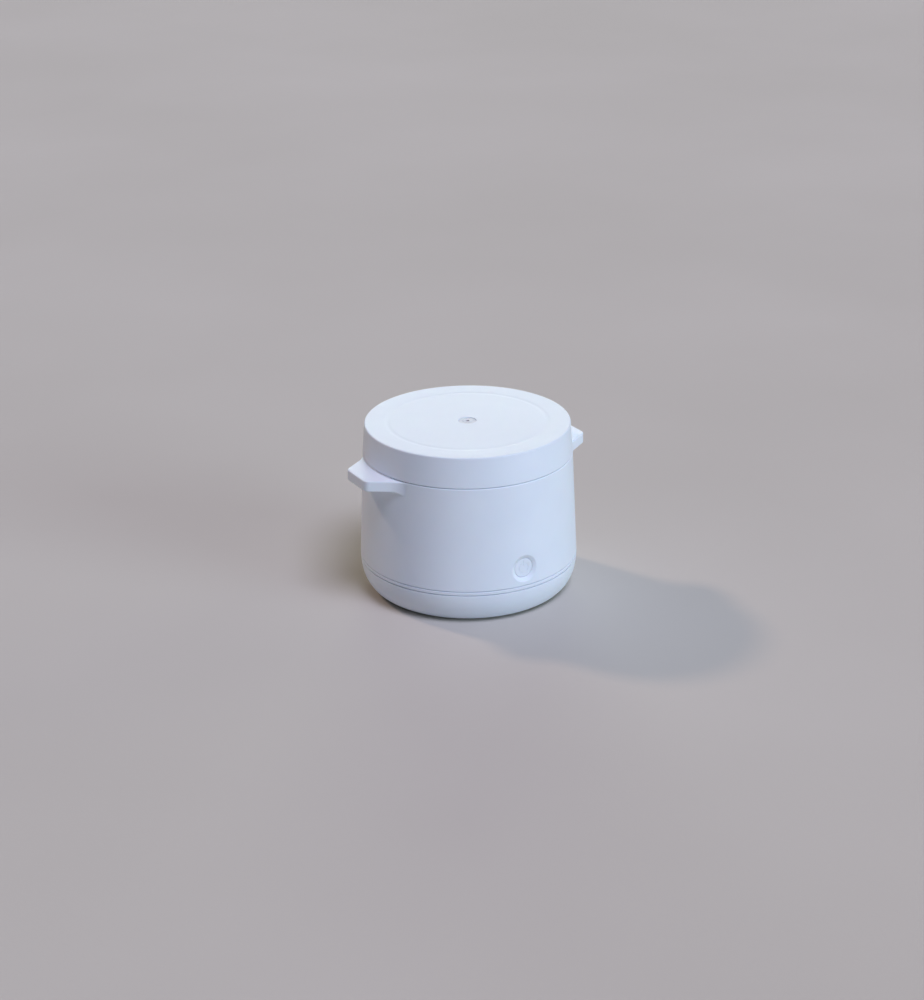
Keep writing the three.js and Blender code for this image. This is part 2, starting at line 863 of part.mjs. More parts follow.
function foodBowl() {
  const innerFillet = bowlFillet - bowlWall;
  return turned(
    [
      [0, bowlBottom],
      ...arc(bowlOuter - bowlFillet, bowlBottom + bowlFillet, bowlFillet, -90, 0, 3),
      [bowlOuter, bowlRimBottom],
      [bowlRimRadius - bowlRimEdge, bowlRimBottom],
      [bowlRimRadius, bowlRimBottom + bowlRimEdge],
      [bowlRimRadius, bowlRimTop - bowlRimEdge],
      [bowlRimRadius - bowlRimEdge, bowlRimTop],
      ...arc(bowlInner + bowlMouth, bowlRimTop - bowlMouth, bowlMouth, 90, 180, 2),
      ...arc(bowlInner - innerFillet, bowlFloorTop + innerFillet, innerFillet, 0, -90, 3),
      [0, bowlFloorTop],
    ],
    innerSides,
  );
}

const sleeveThickness = 2.0;
const sleeveLift = 2.0;
const sleeveDrop = 1.0;

function wellSleeve() {
  const inner = wellOuter + seat;
  const bottom = wellFloorTop + sleeveLift;
  const top = shoulderBottom - sleeveDrop;
  return turned(
    [
      [inner, bottom],
      [inner + sleeveThickness, bottom],
      [inner + sleeveThickness, top],
      [inner, top],
    ],
    innerSides,
  );
}

// Heater stack, clamped under the well

const pocketDepth = 2.6;
const sensorRadius = 1.9;
const sensorReach = 0.6;
const plateEdge = 0.4;
const filmMargin = 1.7;
const fuseRadius = 1.7;
const fuseLength = 12.0;
const fuseLeadRadius = 0.4;
const fuseLeadReach = 1.8;
const fuseOffset = 20.0;
const fuseMargin = 0.6;

function wellSeal() {
  const inner = plateRadius + 2 * seat;
  return turned(
    [
      [inner, sealBottom],
      [plateFlangeRadius, sealBottom],
      [plateFlangeRadius, sealTop],
      [inner, sealTop],
    ],
    innerSides,
  );
}

function heaterPlate() {
  const plate = turned(
    [
      [0, plateBottom],
      [plateFlangeRadius, plateBottom],
      [plateFlangeRadius, plateFlangeTop],
      [plateRadius, plateFlangeTop],
      [plateRadius, plateTop - plateEdge],
      [plateRadius - plateEdge, plateTop],
      [0, plateTop],
    ],
    innerSides,
  );
  return cut(plate, disc(sensorRadius + seat, plateBottom - overrun, plateBottom + pocketDepth, screwSides));
}

function heaterFilm() {
  const film = disc(plateRadius - filmMargin, filmBottom, filmTop, innerSides);
  return cut(film, disc(sensorRadius + 2 * seat, filmBottom - overrun, filmTop + overrun, screwSides));
}

function heaterFelt() {
  const slotHalf = fuseLength / 2 + fuseLeadReach + fuseMargin;
  const slotReach = fuseRadius + fuseMargin;
  const from = feltBottom - overrun;
  const to = feltTop + overrun;
  return cut(
    disc(feltRadius, feltBottom, feltTop, innerSides),
    disc(leadHole, from, to, smallSides),
    block(-slotHalf, slotHalf, -fuseOffset - slotReach, slotReach - fuseOffset, from, to),
  );
}

function heaterBracket(clampPlaces) {
  const holes = clampPlaces.map(({ x, y }) =>
    disc(clampScrew.shank + seat, bracketBottom - overrun, bracketTop + overrun, screwSides, x, y),
  );
  return cut(
    disc(bracketRadius, bracketBottom, bracketTop, innerSides),
    disc(leadHole, bracketBottom - overrun, bracketTop + overrun, smallSides),
    ...holes,
  );
}

function temperatureSensor() {
  return disc(sensorRadius, plateBottom - sensorReach, plateBottom + pocketDepth - seat, screwSides);
}

function thermalFuse() {
  const axis = filmBottom - seat - fuseRadius;
  const half = fuseLength / 2;
  const leads = disc(fuseLeadRadius, -half - fuseLeadReach, half + fuseLeadReach, screwSides);
  const fuse = join(disc(fuseRadius, -half, half, smallSides), leads);
  return fuse.rotateY(Math.PI / 2).translate(0, -fuseOffset, axis);
}

const leadRadius = 0.7;
const leadBow = 0.8;
const leadSpread = 5.0;
const leadSides = 6;

// A section swept along a short bowed path through three places
function swept(section, from, middle, to) {
  const path = new THREE.CatmullRomCurve3([from, middle, to].map((place) => new THREE.Vector3(...place)));
  return new THREE.ExtrudeGeometry(section, { steps: leadSides, extrudePath: path, bevelEnabled: false });
}

function lead(x, top) {
  const bottom = boardTop + seat;
  const around = Array.from({ length: leadSides }, (unused, i) => (2 * Math.PI * i) / leadSides);
  const section = around.map((angle) => {
    return new THREE.Vector2(leadRadius * Math.cos(angle), leadRadius * Math.sin(angle));
  });
  return swept(new THREE.Shape(section), [x, 0, bottom], [x, leadBow, (bottom + top) / 2], [x, 0, top]);
}

// Control board with its parts soldered on

const boardCorner = 2.0;
const componentGap = 0.5;
const connectorHalf = 3.2;
const connectorDepth = 4.0;
const connectorHeight = 2.2;
const connectorInset = 1.0;
const connectorFace = boardHalfWidth - connectorInset;

// Centre and half size of each component as shares of the board's half length and half width, then its height
const componentShares = [
  [-0.45, 0.35, 0.13, 0.26, 0.45],
  [0.5, 0.38, 0.15, 0.3, 1],
  [0.48, -0.42, 0.09, 0.18, 0.8],
  [0.78, 0, 0.07, 0.3, 0.6],
  [-0.5, -0.42, 0.2, 0.14, 0.5],
];

function controlBoard(posts) {
  const board = roundedPlate(boardHalfLength, boardHalfWidth, boardCorner, boardBottom, boardTop);
  const sunk = boardThickness / 2;
  const room = componentRoom - componentGap;
  const components = componentShares.map(([x, y, halfX, halfY, height]) =>
    block(
      boardHalfLength * (x - halfX),
      boardHalfLength * (x + halfX),
      boardHalfWidth * (y - halfY),
      boardHalfWidth * (y + halfY),
      boardTop - sunk,
      boardTop + room * height,
    ),
  );
  const connectorTop = boardTop + connectorHeight;
  const inner = connectorFace - connectorDepth;
  components.push(
    block(-connectorHalf, connectorHalf, inner, connectorFace, boardTop - sunk, connectorTop),
    block(-connectorHalf, connectorHalf, -connectorFace, -inner, boardTop - sunk, connectorTop),
  );
  const holes = posts.map(({ x, y }) =>
    disc(boardScrew.shank + seat, boardBottom - overrun, boardTop + overrun, screwSides, x, y),
  );
  return cut(join(board, ...components), ...holes);
}

// Battery cradle, cells and the strips that join them

const cradleDepth = 7.3;
const endWallRise = 4.0;
const lugThickness = 2.5;
const lugHalf = 4.0;
const boardPilot = 4.0;

function batteryCradle(posts, lugs) {
  const outer = cradleHalfLength + cradleWall;
  const top = cradleBottom + cradleDepth;
  const tray = block(-outer, outer, -cradleHalfWidth, cradleHalfWidth, cradleBottom, top);
  const troughs = [-1, 0, 1].map((row) => {
    const trough = disc(cellRadius + seat, -cradleHalfLength, cradleHalfLength, middleSides);
    return trough.rotateY(Math.PI / 2).translate(0, row * cellPitch, cellAxis);
  });
  const wallTop = cellAxis + endWallRise;
  const walls = [1, -1].map((side) =>
    blockOn(side, cradleHalfLength, outer, -cradleHalfWidth, cradleHalfWidth, cradleBottom, wallTop),
  );
  const columnTop = boardBottom - seat;
  const columns = posts.map(({ x, y }) => disc(boardPostRadius, cradleBottom, columnTop, screwSides, x, y));
  const lugBottom = cradleBossTop + seat;
  const lugTop = lugBottom + lugThickness;
  const lugPlates = [1, -1].map((side) =>
    blockOn(side, outer - cradleWall / 2, cradleLugX + lugHalf, -lugHalf, lugHalf, lugBottom, lugTop),
  );
  const boardPilots = posts.map(({ x, y }) =>
    disc(boardScrew.shank + seat, columnTop - boardPilot, boardBottom, screwSides, x, y),
  );
  const lugHoles = lugs.map(({ x, y }) =>
    disc(cradleScrew.shank + seat, cradleBossTop, boardBottom, screwSides, x, y),
  );
  return cut(join(cut(tray, ...troughs), ...walls, ...columns, ...lugPlates), ...boardPilots, ...lugHoles);
}

const cellCapRadius = 3.0;
const cellCapHeight = 1.0;
const cellEdge = 0.6;

function cell(row) {
  const half = cellLength / 2;
  const shoulderEnd = half - cellCapHeight;
  const can = turned(
    [
      [0, -half],
      [cellRadius - cellEdge, -half],
      [cellRadius, cellEdge - half],
      [cellRadius, shoulderEnd - cellEdge],
      [cellRadius - cellEdge, shoulderEnd],
      [cellCapRadius, shoulderEnd],
      [cellCapRadius, half],
      [0, half],
    ],
    middleSides,
  );
  return can.rotateY(Math.PI / 2).translate(0, row * cellPitch, cellAxis);
}

const tabHalfHeight = 3.4;
const tabOverlap = 5.0;
const tongueOffset = 8.0;
const tongueHalf = 3.0;

// A nickel strip across the ends of the cells, with a tongue up to the board
function cellTab(side) {
  const near = cellLength / 2 + seat;
  const far = near + tabThickness;
  const half = cellPitch + tabOverlap;
  const strip = blockOn(side, near, far, -half, half, cellAxis - tabHalfHeight, cellAxis + tabHalfHeight);
  const from = tongueOffset - tongueHalf;
  const to = tongueOffset + tongueHalf;
  return join(strip, blockOn(side, near, far, from, to, cellAxis, boardBottom - seat));
}

// Button, its switch and its board

const capEdge = 0.5;
const stemRadius = 1.6;
const plungerRadius = 1.7;
const switchHalf = 3.0;

function buttonCap() {
  const cap = turned(
    [
      [0, -stemEnd],
      [stemRadius, -stemEnd],
      [stemRadius, -stemFront],
      [buttonRadius + buttonCollar, -stemFront],
      [buttonRadius + buttonCollar, -collarFront],
      [buttonRadius, -collarFront],
      [buttonRadius, -buttonRecess - capEdge],
      [buttonRadius - capEdge, -buttonRecess],
      [0, -buttonRecess],
    ],
    middleSides,
  );
  return facingFront(cap, buttonWall, buttonHeight);
}

function buttonSwitch() {
  const sunk = switchDepth / 2;
  const made = join(
    block(-switchHalf, switchHalf, -switchHalf, switchHalf, -switchBack, -switchFront),
    disc(plungerRadius, -switchFront - sunk, -plungerFront, smallSides),
  );
  return facingFront(made, buttonWall, buttonHeight);
}

function buttonBoard() {
  const front = buttonBoardFront - buttonWall;
  const back = buttonBoardBack - buttonWall;
  return block(-sideBoardHalf, sideBoardHalf, front, back, buttonBoardBottom, buttonBoardTop);
}

const ribbonHalfWidth = 2.5;
const ribbonHalfThickness = 0.3;
const ribbonSag = 1.2;

// A flat cable from a side board to its connector on the control board
function ribbon(fromY, fromZ, toY) {
  const toZ = boardTop + connectorHeight / 2;
  const middle = [0, (fromY + toY) / 2, Math.min(fromZ, toZ) - ribbonSag];
  const corners = fourCorners(ribbonHalfWidth, ribbonHalfThickness);
  const section = new THREE.Shape(corners.map(({ x, y }) => new THREE.Vector2(x, y)));
  return swept(section, [0, fromY, fromZ], middle, [0, toY, toZ]);
}

function buttonRibbon() {
  return ribbon(buttonBoardBack - buttonWall + seat, boardTop + connectorHeight / 2, -connectorFace - seat);
}

function socketRibbon() {
  const fromZ = (socketBoardBottom + socketBoardTop) / 2;
  return ribbon(portWall - socketBoardBack - seat, fromZ, connectorFace + seat);
}

// Charging inlet, its board and its flap

const socketWall = 0.35;
const socketBackWall = 1.0;
const contactHalfWidth = 3.3;
const contactHalfHeight = 0.4;
const contactInset = 0.6;

function chargingSocket() {
  const shell = roundedPlate(socketHalfWidth, socketHalfHeight, socketCorner, -socketBack, -socketFront);
  const bore = roundedPlate(
    socketHalfWidth - socketWall,
    socketHalfHeight - socketWall,
    socketCorner - socketWall,
    socketBackWall - socketBack,
    overrun - socketFront,
  );
  const contacts = block(
    -contactHalfWidth,
    contactHalfWidth,
    -contactHalfHeight,
    contactHalfHeight,
    -socketBack + socketBackWall / 2,
    -socketFront - contactInset,
  );
  return facingBack(join(cut(shell, bore), contacts), portWall, portHeight);
}

function socketBoard() {
  const from = portWall - socketBoardBack;
  const to = portWall - socketBoardFront;
  return block(-sideBoardHalf, sideBoardHalf, from, to, socketBoardBottom, socketBoardTop);
}

// The flap turns on its rounded lower edge, on a pin at each end
function portCover() {
  const half = flapThickness / 2;
  const shape = new THREE.Shape();
  shape.absarc(0, 0, half, Math.PI, Math.PI * 2, false);
  shape.lineTo(half, flapHeight - half);
  shape.lineTo(-half, flapHeight - half);
  const plate = new THREE.ExtrudeGeometry(shape, {
    depth: 2 * flapHalfWidth,
    bevelEnabled: false,
    curveSegments: 4,
  });
  plate.translate(0, 0, -flapHalfWidth);
  const pinReach = flapHalfWidth + flapPinLength;
  const pin = disc(flapPinRadius, -pinReach, pinReach, screwSides);
  const flap = join(plate, pin);
  flap.rotateY(Math.PI / 2).rotateX(Math.PI / 2);
  return flap.translate(0, portWall - flapAxisDepth, flapAxisHeight);
}

// Materials, as colour, roughness and metalness

function material(color, roughness, metalness = 0) {
  return new THREE.MeshStandardMaterial({ color, roughness, metalness });
}

const whitePlastic = material(0xe9edf2, 0.55);
const milkySilicone = material(0xdfe3e6, 0.7);
const steel = material(0xc9ccd0, 0.28, 1);
const aluminium = material(0xbfc3c8, 0.4, 1);
const zincSteel = material(0xa9adb2, 0.45, 1);
const nickel = material(0xc4bfae, 0.35, 1);
const boardGreen = material(0x1f6b46, 0.5);
const felt = material(0xcfc8b8, 0.95);
const foil = material(0xb9772f, 0.4, 0.4);
const sleeveBlue = material(0x2f5d8c, 0.45);
const darkRubber = material(0x3a3c3f, 0.8);
const greyPlastic = material(0x6f7479, 0.6);

// The warmer

const warmer = new THREE.Group();

function add(name, geometry, finish, place) {
  const mesh = new THREE.Mesh(geometry, finish);
  mesh.name = name;
  if (place) mesh.position.set(place.x, place.y, place.z ?? 0);
  warmer.add(mesh);
}

const basePosts = fourCorners(basePostSpread, basePostY);
const boardPosts = fourCorners(boardPostX, boardPostSpread);
const cradleBosses = [{ x: cradleLugX, y: 0 }, { x: -cradleLugX, y: 0 }];
const feet = ring(padCount, padCircle, 0);
const clampPlaces = ring(clampCount, clampCircle, clampStart);

add('lid_shell', lidShell(), whitePlastic);
add('lid_liner', lidLiner(), whitePlastic);
add('lid_gasket', lidGasket(), milkySilicone);
add('vent_plug', ventPlug(), milkySilicone);
add('body_shell', bodyShell(basePosts), whitePlastic);
add('trim_ring', trimRing(), whitePlastic);
add('base_shell', baseShell(basePosts, feet, cradleBosses), whitePlastic);
add('food_bowl', foodBowl(), steel);
add('well_liner', wellLiner(clampPlaces), whitePlastic);
add('well_sleeve', wellSleeve(), felt);
add('well_seal', wellSeal(), milkySilicone);
add('heater_plate', heaterPlate(), aluminium);
add('heater_film', heaterFilm(), foil);
add('heater_felt', heaterFelt(), felt);
add('heater_bracket', heaterBracket(clampPlaces), zincSteel);
add('temperature_sensor', temperatureSensor(), darkRubber);
add('thermal_fuse', thermalFuse(), aluminium);
add('sensor_lead', lead(0, plateBottom - sensorReach - seat), darkRubber);
add('heater_lead_1', lead(leadSpread, filmBottom - seat), darkRubber);
add('heater_lead_2', lead(-leadSpread, filmBottom - seat), darkRubber);
add('control_board', controlBoard(boardPosts), boardGreen);
add('battery_cradle', batteryCradle(boardPosts, cradleBosses), greyPlastic);
add('button_cap', buttonCap(), whitePlastic);
add('button_switch', buttonSwitch(), greyPlastic);
add('button_board', buttonBoard(), boardGreen);
add('button_ribbon', buttonRibbon(), darkRubber);
add('charging_socket', chargingSocket(), steel);
add('socket_board', socketBoard(), boardGreen);
add('socket_ribbon', socketRibbon(), darkRubber);
add('port_cover', portCover(), milkySilicone);

[-1, 0, 1].forEach((row, i) => add(`cell_${i + 1}`, cell(row), sleeveBlue));
[1, -1].forEach((side, i) => add(`cell_tab_${i + 1}`, cellTab(side), nickel));
feet.forEach((place, i) => add(`foot_${i + 1}`, foot(), darkRubber, place));

basePosts.forEach(({ x, y }, i) =>
  add(`base_screw_${i + 1}`, screw(baseScrew), zincSteel, { x, y, z: baseScrewSeat }),
);
clampPlaces.forEach(({ x, y }, i) =>
  add(`bracket_screw_${i + 1}`, screw(clampScrew), zincSteel, { x, y, z: bracketBottom - seat }),
);
boardPosts.forEach(({ x, y }, i) =>
  add(`board_screw_${i + 1}`, screw(boardScrew).rotateX(Math.PI), zincSteel, { x, y, z: boardTop + seat }),
);
cradleBosses.forEach(({ x, y }, i) => {
  const bearing = cradleBossTop + lugThickness + 2 * seat;
  add(`cradle_screw_${i + 1}`, screw(cradleScrew).rotateX(Math.PI), zincSteel, { x, y, z: bearing });
});

export default warmer;
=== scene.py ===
# %% [markdown]
# # A baby food warmer
#
# A small cordless warming pot stands on a pale floor. It is white moulded plastic all over: a tapered body
# with two flat ears, a push-on lid, a fine band near the foot and a bowed base. A steel bowl, a heater and
# the electronics are inside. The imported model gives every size, so the first cell loads it and keeps its
# box.

import math

import bmesh
import bpy
from mathutils import Matrix, Vector


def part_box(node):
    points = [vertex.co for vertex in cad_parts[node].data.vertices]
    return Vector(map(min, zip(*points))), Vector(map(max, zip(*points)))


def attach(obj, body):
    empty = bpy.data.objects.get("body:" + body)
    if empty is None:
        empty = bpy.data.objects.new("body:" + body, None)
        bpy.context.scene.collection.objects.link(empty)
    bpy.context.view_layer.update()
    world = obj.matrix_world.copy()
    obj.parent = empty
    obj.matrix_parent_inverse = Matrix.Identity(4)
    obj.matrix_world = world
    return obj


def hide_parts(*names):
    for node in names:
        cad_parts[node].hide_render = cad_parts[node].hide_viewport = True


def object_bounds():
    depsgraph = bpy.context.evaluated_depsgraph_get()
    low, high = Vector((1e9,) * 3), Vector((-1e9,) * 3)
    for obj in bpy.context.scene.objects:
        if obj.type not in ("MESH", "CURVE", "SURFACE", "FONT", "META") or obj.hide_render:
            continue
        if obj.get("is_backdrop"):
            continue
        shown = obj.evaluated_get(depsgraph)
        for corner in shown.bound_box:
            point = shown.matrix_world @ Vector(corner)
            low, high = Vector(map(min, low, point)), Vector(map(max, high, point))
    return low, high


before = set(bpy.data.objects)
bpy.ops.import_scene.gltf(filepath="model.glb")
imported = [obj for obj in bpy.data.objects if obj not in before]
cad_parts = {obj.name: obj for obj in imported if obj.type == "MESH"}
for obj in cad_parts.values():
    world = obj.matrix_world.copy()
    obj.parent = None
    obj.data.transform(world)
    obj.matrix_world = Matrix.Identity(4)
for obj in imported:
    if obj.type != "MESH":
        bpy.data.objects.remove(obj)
frame_box = [list(corner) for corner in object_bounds()]
scene = bpy.context.scene
MM = 0.001
print("pieces in the frame:", len(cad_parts))

# %% [markdown]
# ## Sizes
#
# The outside is a stack of turned pieces, so a few radii and heights rule it. They are read from the boxes
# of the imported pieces, and the finer model then fits them by itself. Only gaps, walls and small radii that
# no box shows are written as numbers. A seat is the gap between two pieces that fit together. A skin is
# the layer that a cut leaves or takes beyond a face, because two faces in one plane render black.

# %% Main sizes
lid_low, lid_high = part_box("lid_shell")
body_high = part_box("body_shell")[1]
trim_low, trim_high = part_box("trim_ring")
base_low, base_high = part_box("base_shell")
bowl_low, bowl_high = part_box("food_bowl")
plate_low, plate_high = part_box("heater_plate")

seat = 0.3 * MM
skin = 0.1 * MM
seam_gap = 0.5 * MM
neck_room = 0.7 * MM
neck_wall = 2.0 * MM
bowl_room = 2.3 * MM
bowl_sheet = 0.8 * MM
seam_radius = lid_high.x
foot_radius = trim_high.x
body_top = lid_low.z - seam_gap
body_bottom = trim_high.z + seat
neck_outer = bowl_high.x + neck_room
neck_inner = neck_outer - neck_wall
bowl_outer = neck_inner - bowl_room
bowl_inner = bowl_outer - bowl_sheet


def wall_radius(height):
    """Radius of the tapered wall at a height."""
    share = (body_top - height) / (body_top - body_bottom)
    return seam_radius + (foot_radius - seam_radius) * share


print("seam and foot radius in mm:", round(seam_radius / MM, 2), round(foot_radius / MM, 2))

# %% [markdown]
# ## Camera
#
# The camera is a long lens that looks down at 22.8 degrees, rolled by about half a degree, and the button
# faces 30 degrees to the right of it. Those angles were fitted to the ellipses of the lid and the foot in
# the photograph, so a matrix places the camera exactly. Its sensor's long side is the picture's height.

# %% Camera
photo_turn = math.radians(30.0)
photo_pitch = math.radians(22.8)
photo_roll = math.radians(0.635)
photo_eye = Vector((-3.5 * MM, -1166.0 * MM, 540.0 * MM))
photo_focus_px = 2218.6
photo_height_px = 1000
camera_data = bpy.data.cameras.new("photo_camera")
camera_data.lens = photo_focus_px / photo_height_px * camera_data.sensor_width
camera = bpy.data.objects.new("photo_camera", camera_data)
turn = Matrix.Rotation(-photo_turn, 3, "Z")
tilt = Matrix.Rotation(math.pi / 2 - photo_pitch, 3, "X") @ Matrix.Rotation(-photo_roll, 3, "Z")
camera.matrix_world = Matrix.Translation(turn @ photo_eye) @ (turn @ tilt).to_4x4()
scene.collection.objects.link(camera)
scene.camera = camera
print("lens in mm:", round(camera_data.lens, 2))

# %% [markdown]
# ## Finishes
#
# A moulded surface is never one flat colour. Its tint and gloss drift a little over a few centimetres, and
# a fine spark-eroded texture breaks up reflections. One helper builds that from two noises on Object
# coordinates, and every plastic and rubber here is a call of it with its own numbers. A noise keeps mostly
# between 0.3 and 0.7, so that stretch is spread over the two tints and the two values of gloss.

# %% Finish helpers
NOISE_LOW = 0.3
NOISE_HIGH = 0.7


def begin_finish(name):
    """A new node material with its shader, and the Object coordinates to read."""
    finish = bpy.data.materials.new(name)
    finish.use_nodes = True
    nodes = finish.node_tree.nodes
    place = nodes.new("ShaderNodeTexCoord").outputs["Object"]
    return finish, nodes, finish.node_tree.links, nodes["Principled BSDF"], place


def noise(nodes, links, place, grain, detail=3.0):
    """A noise whose features are about one grain across."""
    texture = nodes.new("ShaderNodeTexNoise")
    texture.inputs["Scale"].default_value = 1 / grain
    texture.inputs["Detail"].default_value = detail
    links.new(place, texture.inputs["Vector"])
    return texture.outputs["Fac"]


def between(nodes, links, source, low, high, to_low, to_high):
    """Maps a stretch of a value onto another, and holds it at the ends."""
    ranged = nodes.new("ShaderNodeMapRange")
    for name, value in (("From Min", low), ("From Max", high), ("To Min", to_low), ("To Max", to_high)):
        ranged.inputs[name].default_value = value
    links.new(source, ranged.inputs["Value"])
    return ranged.outputs["Result"]


def tinted(nodes, links, source, first, second, low=NOISE_LOW, high=NOISE_HIGH):
    """A colour that goes from the first tint to the second as the source rises."""
    ramp = nodes.new("ShaderNodeValToRGB")
    for element, position, tint in zip(ramp.color_ramp.elements, (low, high), (first, second)):
        element.position = position
        element.color = (*tint, 1)
    links.new(source, ramp.inputs["Fac"])
    return ramp.outputs["Color"]


def bumped(nodes, links, shader, source, depth):
    """Raises the surface by the source, up to a depth."""
    bump = nodes.new("ShaderNodeBump")
    bump.inputs["Distance"].default_value = depth
    links.new(source, bump.inputs["Height"])
    links.new(bump.outputs["Normal"], shader.inputs["Normal"])


def moulded(name, first, second, patch, gloss, pit, depth, **even):
    """A moulded finish: two close tints in patches, a roughness between two values, and fine pits."""
    finish, nodes, links, shader, place = begin_finish(name)
    patches = noise(nodes, links, place, patch)
    links.new(tinted(nodes, links, patches, first, second), shader.inputs["Base Color"])
    links.new(between(nodes, links, patches, NOISE_LOW, NOISE_HIGH, *gloss), shader.inputs["Roughness"])
    bumped(nodes, links, shader, noise(nodes, links, place, pit, detail=2.0), depth)
    for socket, value in even.items():
        shader.inputs[socket.replace("_", " ")].default_value = value
    return finish


# %% [markdown]
# ### White plastics
#
# The outside is a cool satin white, lit blue-white in the photograph. The inner plastic is the same resin
# from a smoother mould. Light enters the resin a little, so both have some subsurface scattering, which
# softens the shading near an edge as it does on the real thing.

# %% White plastics
resin = {"Subsurface_Weight": 0.08, "Subsurface_Scale": 1.5 * MM}
shell_white = moulded(
    "shell_white", (0.755, 0.825, 0.925), (0.79, 0.855, 0.95),
    28 * MM, (0.44, 0.52), 0.35 * MM, 0.012 * MM, **resin, Specular_IOR_Level=0.42,
)
inner_white = moulded(
    "inner_white", (0.74, 0.79, 0.865), (0.79, 0.83, 0.895),
    35 * MM, (0.28, 0.36), 0.5 * MM, 0.008 * MM, **resin,
)
print("white plastics:", shell_white.name, inner_white.name)

# %% [markdown]
# ### Silicone and rubber
#
# The lid's gasket and vent and the flap over the inlet are milky silicone, softer in its gloss than the
# plastic and more open to light. The feet and the sleeves of the leads are dark, and the small trays are a
# plain grey plastic. The same helper makes them all, because only their numbers differ.

# %% Silicone and rubber
milky_silicone = moulded(
    "milky_silicone", (0.7, 0.74, 0.79), (0.76, 0.79, 0.83), 9 * MM, (0.5, 0.62), 0.25 * MM, 0.01 * MM,
    Subsurface_Weight=0.25, Subsurface_Scale=2.5 * MM, Sheen_Weight=0.1,
)
dark_rubber = moulded(
    "dark_rubber", (0.02, 0.021, 0.023), (0.035, 0.036, 0.038), 5 * MM, (0.62, 0.8), 0.3 * MM, 0.02 * MM,
)
grey_plastic = moulded(
    "grey_plastic", (0.15, 0.16, 0.17), (0.19, 0.2, 0.21), 12 * MM, (0.4, 0.55), 0.3 * MM, 0.012 * MM,
)
print("soft and grey:", milky_silicone.name, dark_rubber.name, grey_plastic.name)

# %% [markdown]
# ### Felt
#
# The insulation is needled felt. Hair strands could make its fibres, but it lies inside, so a coarse, deep
# noise with a fuzzy sheen is enough. The moulded finish serves again with a larger pit and depth.

# %% Felt
needled_felt = moulded(
    "needled_felt", (0.5, 0.47, 0.4), (0.66, 0.62, 0.55), 3 * MM, (0.85, 0.97), 0.6 * MM, 0.25 * MM,
    Sheen_Weight=0.4, Sheen_Roughness=0.6,
)
print("felt:", needled_felt.name)

# %% [markdown]
# ### Brushed and plated metals
#
# The bowl is brushed while it turns, so its scratches run round the axis. A noise on plain coordinates
# gives dots, and one on the angle has a seam. This one reads the direction from the axis only slowly, and
# the distance from it and the height quickly, which draws rings with no seam. Plated and stamped metals
# have no such grain and use patches instead.

# %% Metals
def vector_step(nodes, links, operation, source, factor=None):
    """A step of vector arithmetic on the source, with a factor where it takes one."""
    step = nodes.new("ShaderNodeVectorMath")
    step.operation = operation
    if factor:
        step.inputs[1].default_value = factor
    links.new(source, step.inputs[0])
    return step


def brushed_round(name, tint_low, tint_high, gloss, scratch, depth):
    """Metal brushed round the Z axis."""
    pace_round = 9
    finish, nodes, links, shader, place = begin_finish(name)
    flat = vector_step(nodes, links, "MULTIPLY", place, (1, 1, 0)).outputs["Vector"]
    across = vector_step(nodes, links, "LENGTH", flat).outputs["Value"]
    heading = vector_step(nodes, links, "NORMALIZE", flat).outputs["Vector"]
    upright = vector_step(nodes, links, "MULTIPLY", place, (0, 0, 1 / scratch)).outputs["Vector"]
    spot = vector_step(nodes, links, "MULTIPLY_ADD", heading, (pace_round, pace_round, pace_round))
    links.new(upright, spot.inputs[2])
    ring = nodes.new("ShaderNodeMath")
    ring.operation = "DIVIDE"
    ring.inputs[1].default_value = scratch
    links.new(across, ring.inputs[0])
    scratches = nodes.new("ShaderNodeTexNoise")
    scratches.noise_dimensions = "4D"
    scratches.inputs["Scale"].default_value = 1
    links.new(spot.outputs["Vector"], scratches.inputs["Vector"])
    links.new(ring.outputs["Value"], scratches.inputs["W"])
    streaks = scratches.outputs["Fac"]
    links.new(tinted(nodes, links, streaks, tint_low, tint_high), shader.inputs["Base Color"])
    links.new(between(nodes, links, streaks, NOISE_LOW, NOISE_HIGH, *gloss), shader.inputs["Roughness"])
    bumped(nodes, links, shader, streaks, depth)
    shader.inputs["Metallic"].default_value = 1
    return finish


bowl_steel = brushed_round(
    "bowl_steel", (0.66, 0.67, 0.68), (0.78, 0.79, 0.8), (0.26, 0.38), 0.25 * MM, 0.004 * MM
)
turned_aluminium = brushed_round(
    "turned_aluminium", (0.6, 0.61, 0.63), (0.74, 0.75, 0.77), (0.3, 0.42), 0.5 * MM, 0.01 * MM
)
zinc_steel = moulded(
    "zinc_steel", (0.45, 0.47, 0.5), (0.6, 0.61, 0.62),
    2.5 * MM, (0.3, 0.45), 0.2 * MM, 0.006 * MM, Metallic=1,
)
nickel_strip = moulded(
    "nickel_strip", (0.5, 0.48, 0.43), (0.6, 0.58, 0.52),
    4 * MM, (0.25, 0.4), 0.3 * MM, 0.006 * MM, Metallic=1,
)
print("metals:", bowl_steel.name, turned_aluminium.name, zinc_steel.name, nickel_strip.name)

# %% [markdown]
# ### Cells and boards
#
# A cell is a steel can in a plain blue sleeve that leaves its ends bare. The boards are green, with copper
# under the mask, and everything that stands on the control board is black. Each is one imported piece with
# two looks, so the height or the reach along X picks between them, and no face has to be sorted by hand.
# The small boards carry nothing, so their limit lies out of reach.

# %% Cells and boards
def beyond(nodes, links, place, axis, limit, both_ways=False):
    """1 where the coordinate is past the limit, with a short stretch to change in."""
    stretch = 0.2 * MM
    split = nodes.new("ShaderNodeSeparateXYZ")
    links.new(place, split.inputs["Vector"])
    value = split.outputs[axis]
    if both_ways:
        size = nodes.new("ShaderNodeMath")
        size.operation = "ABSOLUTE"
        links.new(value, size.inputs[0])
        value = size.outputs["Value"]
    return between(nodes, links, value, limit, limit + stretch, 0, 1)


